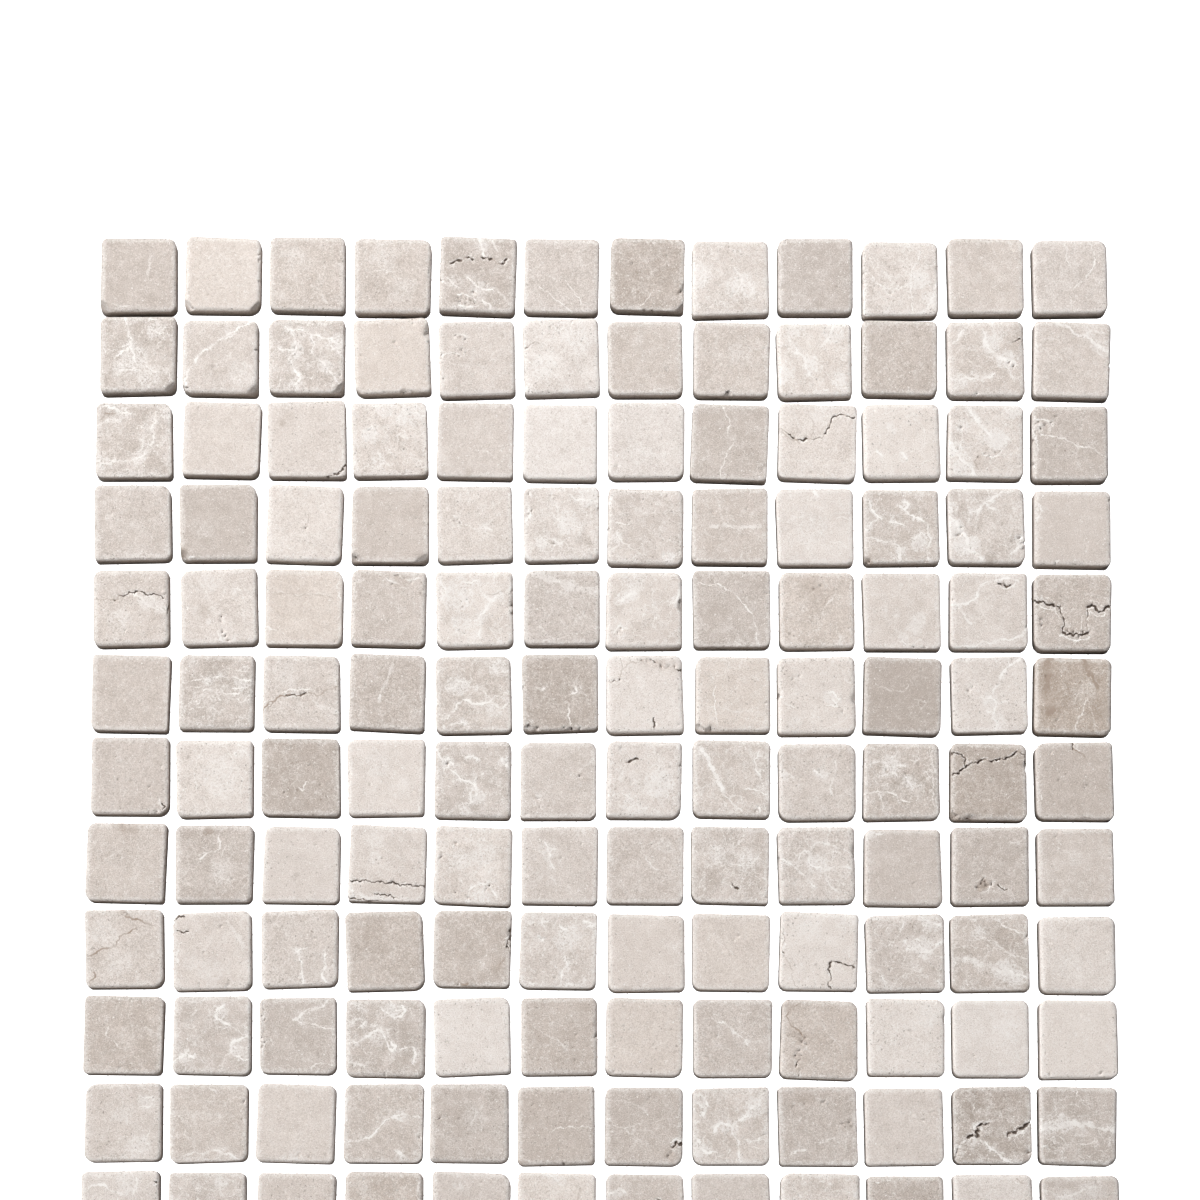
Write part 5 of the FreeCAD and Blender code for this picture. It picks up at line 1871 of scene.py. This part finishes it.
    def dark_specks(self, body):
        distance, (_, _, chance) = self.cells(self.stirred, 1.1)
        chosen = self.math("GREATER_THAN", chance, self.line(self.edge, -.2, .92))
        self.dark_point = self.times(self.steps(distance, .32, .12), chosen)
        return self.mix(self.times(self.dark_point, .66), body, POINT_BROWN)

    def dark_lines(self, body):
        """The chips' stains, hairs and cracks."""
        stains = self.times(self.stain, self.line(self.fray, 2.4, .65), clamp=True)
        hairs = self.steps(self.line(self.fray, 1.4, self.hair), .4, .8)
        hairs = self.times(hairs, self.times(self.hair_strength, self.steps(self.hair, .05, .3)))
        body = self.mix(self.times(self.math("MAXIMUM", stains, hairs), .8), body, HAIR_BROWN)
        cracks = self.steps(self.line(self.fray, 1.5, self.crack), .45, .68)
        cracks = self.times(cracks, self.steps(self.crack, .05, .3, 0.0, .94))
        return self.mix(cracks, body, CRACK_BROWN)

    def low_down(self, body):
        """Painted shade down the sides, darker towards their foot, and a little glue at the foot."""
        body = self.mix(self.painted_joint_shade, body, JOINT_SHADE_TINT, "MULTIPLY")
        height = self.add("SeparateXYZ", {0: self.place}).outputs[2]
        glued = self.steps(self.noise(self.spot, .35, 4.0, .6), .42, .56)
        glue = self.times(self.steps(height, .62, .4), glued)
        return self.mix(self.times(glue, .8), body, GLUE_WHITE)

    def finish(self, body):
        height = self.line(self.sugar, 1.0, self.times(self.blotch, 1.4))
        height = self.plus(height, self.times(self.speck, .1), self.times(self.dark_point, -.6))
        shader = self.add("BsdfPrincipled", {
            "Base Color": body, "Roughness": self.line(self.sugar, .2, .66), "IOR": 1.45,
            "Specular IOR Level": .25, "Normal": self.bump(height, .6, .14 * MM),
        })
        self.show(shader.outputs["BSDF"])


def net_material():
    """Glass fibres in clear resin. Most of the light goes through."""
    g = Graph("glass_fibre_net")
    place = g.millimetres()
    fibres = g.noise(place, 5.0, 3.0, .7)
    resin = g.noise(place, .4, 2.0)
    colour = g.mix(g.steps(fibres, .3, .7), GLASS_GREY, GLASS_WHITE)
    colour = g.mix(g.steps(resin, .5, .7, 0.0, .35), colour, RESIN)
    shader = g.add("BsdfPrincipled", {
        "Base Color": colour, "Roughness": g.steps(resin, .4, .7, .5, .3),
        "Normal": g.bump(fibres, .5, .05 * MM), "Specular IOR Level": .3,
    })
    clear = g.add("BsdfTransparent", {"Color": WHITE})
    seen_through = g.steps(fibres, .3, .7, .8, .9)
    both = g.add("MixShader", {0: seen_through, 1: shader.outputs[0], 2: clear.outputs[0]})
    return g.show(both.outputs[0])


def floor_material():
    """A floor that glows, so that it stays pure white under the sheet's shadow."""
    g = Graph("white_floor")
    cloud = g.noise(g.add("TexCoord").outputs["Object"], 3.0, 2.0)
    glow = g.add("Emission", {"Color": WHITE, "Strength": g.steps(cloud, .3, .7, 1.9, 2.0)})
    return g.show(glow.outputs[0])


# The pieces

def new_object(name, points, faces, material):
    mesh = bpy.data.meshes.new(name)
    mesh.from_pydata(points, [], faces)
    mesh.materials.append(material)
    mesh.update()
    thing = bpy.data.objects.new(name, mesh)
    bpy.context.scene.collection.objects.link(thing)
    return thing


def add_colours(mesh, name, values):
    layer = mesh.attributes.new(name, "FLOAT_COLOR", "POINT")
    layer.data.foreach_set("color", np.ascontiguousarray(values, dtype=np.float32).ravel())


def stone_row(row, material):
    """The visible stone of one row, in place of the row's CAD node."""
    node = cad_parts[f"chip_row_{row:02d}"]
    cad = np.empty(len(node.data.vertices) * 3)
    node.data.vertices.foreach_get("co", cad)
    cad = cad.reshape(-1, 3)
    column_of = np.round(cad[:, 0] / PITCH + (CHIPS_IN_ROW + 1) / 2).astype(int)
    polygons = [tuple(p.vertices) for p in node.data.polygons]
    tree = BVHTree.FromPolygons([Vector(p) for p in cad], polygons)
    points, faces, colours = [], [], []
    first = 0
    for column in range(1, CHIPS_IN_ROW + 1):
        chip = Chip(row, column, cad[column_of == column], tree)
        chip_points, chip_faces, chip_colours = chip.build()
        points.append(chip_points)
        colours.append(chip_colours)
        faces += [tuple(first + v for v in face) for face in chip_faces]
        first += len(chip_points)
    thing = new_object(f"stone_row_{row:02d}", np.vstack(points), faces, material)
    for name in colours[0]:
        add_colours(thing.data, name, np.vstack([chip_colours[name] for chip_colours in colours]))
    thing.data.shade_smooth()
    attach(thing, "root")
    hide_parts(node.name)


def tube(path, across, up, points, faces):
    """Adds a yarn along a path, oval, with flat ends."""
    sides = YARN_SIDES
    first = len(points)
    last = len(path) - 1
    for k, place in enumerate(path):
        ahead = path[min(k + 1, last)] - path[max(k - 1, 0)]
        aside = np.cross(ahead, (0, 0, 1.0))
        aside /= np.linalg.norm(aside)
        for s in range(sides):
            turn = (s + .5) * 2 * math.pi / sides
            points.append(place + aside * across * math.cos(turn) + np.array((0, 0, up * math.sin(turn))))
    for k in range(last):
        for s in range(sides):
            a, b = first + k * sides + s, first + k * sides + (s + 1) % sides
            faces.append((a, b, b + sides, a + sides))
    faces.append(tuple(first + s for s in reversed(range(sides))))
    faces.append(tuple(first + last * sides + s for s in range(sides)))


def strand_lines(low, high):
    """Where the strands' middles lie between the ends of the whole net, as the CAD has them."""
    count = int((high - low - STRAND_WIDTH) / STRAND_PITCH + 1e-6) + 1
    return (low + high) / 2 + (np.arange(count) - (count - 1) / 2) * STRAND_PITCH


def weft(y, crossings, low, high, rng, points, faces):
    """One flat yarn along +X, from one end of the panel to the other."""
    steps = np.linspace(low, high, 2 * len(crossings) + 1)
    sway = rng.uniform(-WEFT_SWAY, WEFT_SWAY, len(steps)) * MM
    path = np.column_stack((steps, y + sway, np.full(len(steps), STRAND_THICKNESS / 2)))
    tube(path, STRAND_WIDTH * .44, STRAND_THICKNESS * .24, points, faces)


def warp(x, crossings, low, high, points, faces):
    """A pair of yarns along +Y that pass each other between one weft yarn and the next."""
    steps = [low]
    for y in crossings:
        steps += [y - STRAND_PITCH / 4, y + STRAND_PITCH / 4]
    steps = np.array(steps + [high])
    for side in (-1, 1):
        turn = math.pi * (steps - crossings[0]) / STRAND_PITCH
        aside = side * STRAND_WIDTH * .24 * np.cos(turn)
        rise = side * STRAND_THICKNESS * .2 * np.sin(turn)
        path = np.column_stack((x + aside, steps, STRAND_THICKNESS / 2 + rise))
        tube(path, STRAND_WIDTH * .2, STRAND_THICKNESS * .26, points, faces)


def net_panel(number, material, strands, rng):
    """One panel of the net: flat weft yarns between pairs of warp yarns that twist round them."""
    node = f"backing_mesh_{number:02d}"
    low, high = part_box(node)
    xs, ys = [[place for place in strands[axis] if low[axis] < place < high[axis]] for axis in (0, 1)]
    points, faces = [], []
    for y in ys:
        weft(y, xs, low[0], high[0], rng, points, faces)
    for x in xs:
        warp(x, ys, low[1], high[1], points, faces)
    thing = new_object(f"net_panel_{number:02d}", np.array(points), faces, material)
    thing.data.shade_smooth()
    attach(thing, "root")
    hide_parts(node)


def whole_net(material):
    """All panels of the net. Their strands go on from one panel to the next."""
    nodes = [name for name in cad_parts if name.startswith("backing_mesh_")]
    boxes = [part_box(name) for name in nodes]
    low = np.min([box[0] for box in boxes], axis=0)
    high = np.max([box[1] for box in boxes], axis=0)
    strands = [strand_lines(low[axis], high[axis]) for axis in (0, 1)]
    rng = np.random.default_rng(SEED)
    for number in range(1, len(nodes) + 1):
        net_panel(number, material, strands, rng)


# Floor, light and camera

def white_floor():
    far = FLOOR_REACH
    corners = [(x, y, FLOOR_HEIGHT) for x, y in ((-far, -far), (far, -far), (far, far), (-far, far))]
    floor = new_object("floor", corners, [(0, 1, 2, 3)], floor_material())
    floor.visible_diffuse = False
    floor.visible_glossy = False
    floor.visible_shadow = False
    return floor


def area_light(name, place, size, power):
    """A round lamp that faces the middle of the sheet and isn't seen itself."""
    data = bpy.data.lights.new(name, "AREA")
    data.shape = "DISK"
    data.size = size
    data.energy = power
    light = bpy.data.objects.new(name, data)
    light.location = place
    light.rotation_euler = (Vector((0, 0, 0)) - Vector(place)).to_track_quat("-Z", "Y").to_euler()
    light.visible_camera = False
    bpy.context.scene.collection.objects.link(light)


def studio_sky():
    """A dim white sky that fades out towards the horizon and is dark below it."""
    world = bpy.data.worlds.new("studio")
    world.use_nodes = True
    nodes, links = world.node_tree.nodes, world.node_tree.links
    sky = nodes["Background"]
    sky.inputs["Color"].default_value = WHITE
    direction = nodes.new("ShaderNodeTexCoord").outputs["Generated"]
    parts = nodes.new("ShaderNodeSeparateXYZ")
    rise = nodes.new("ShaderNodeMapRange")
    rise.inputs["From Min"].default_value = -.02
    rise.inputs["From Max"].default_value = .3
    rise.inputs["To Max"].default_value = SKY_STRENGTH
    links.new(direction, parts.inputs[0])
    links.new(parts.outputs[2], rise.inputs["Value"])
    links.new(rise.outputs[0], sky.inputs["Strength"])
    return world


def photo_camera():
    data = bpy.data.cameras.new("camera")
    data.lens = CAMERA_LENS
    data.sensor_width = 36
    camera = bpy.data.objects.new("camera", data)
    camera.location = CAMERA_PLACE
    camera.rotation_euler = CAMERA_TURN
    bpy.context.scene.collection.objects.link(camera)
    return camera


marble = Marble().material
net = net_material()
for row in range(1, ROWS + 1):
    stone_row(row, marble)
whole_net(net)

floor = white_floor()
for name, (place, size, power) in LIGHTS.items():
    area_light(name, place, size, power)

scene = bpy.context.scene
scene.world = studio_sky()
scene.view_settings.view_transform = "Standard"
scene.camera = photo_camera()
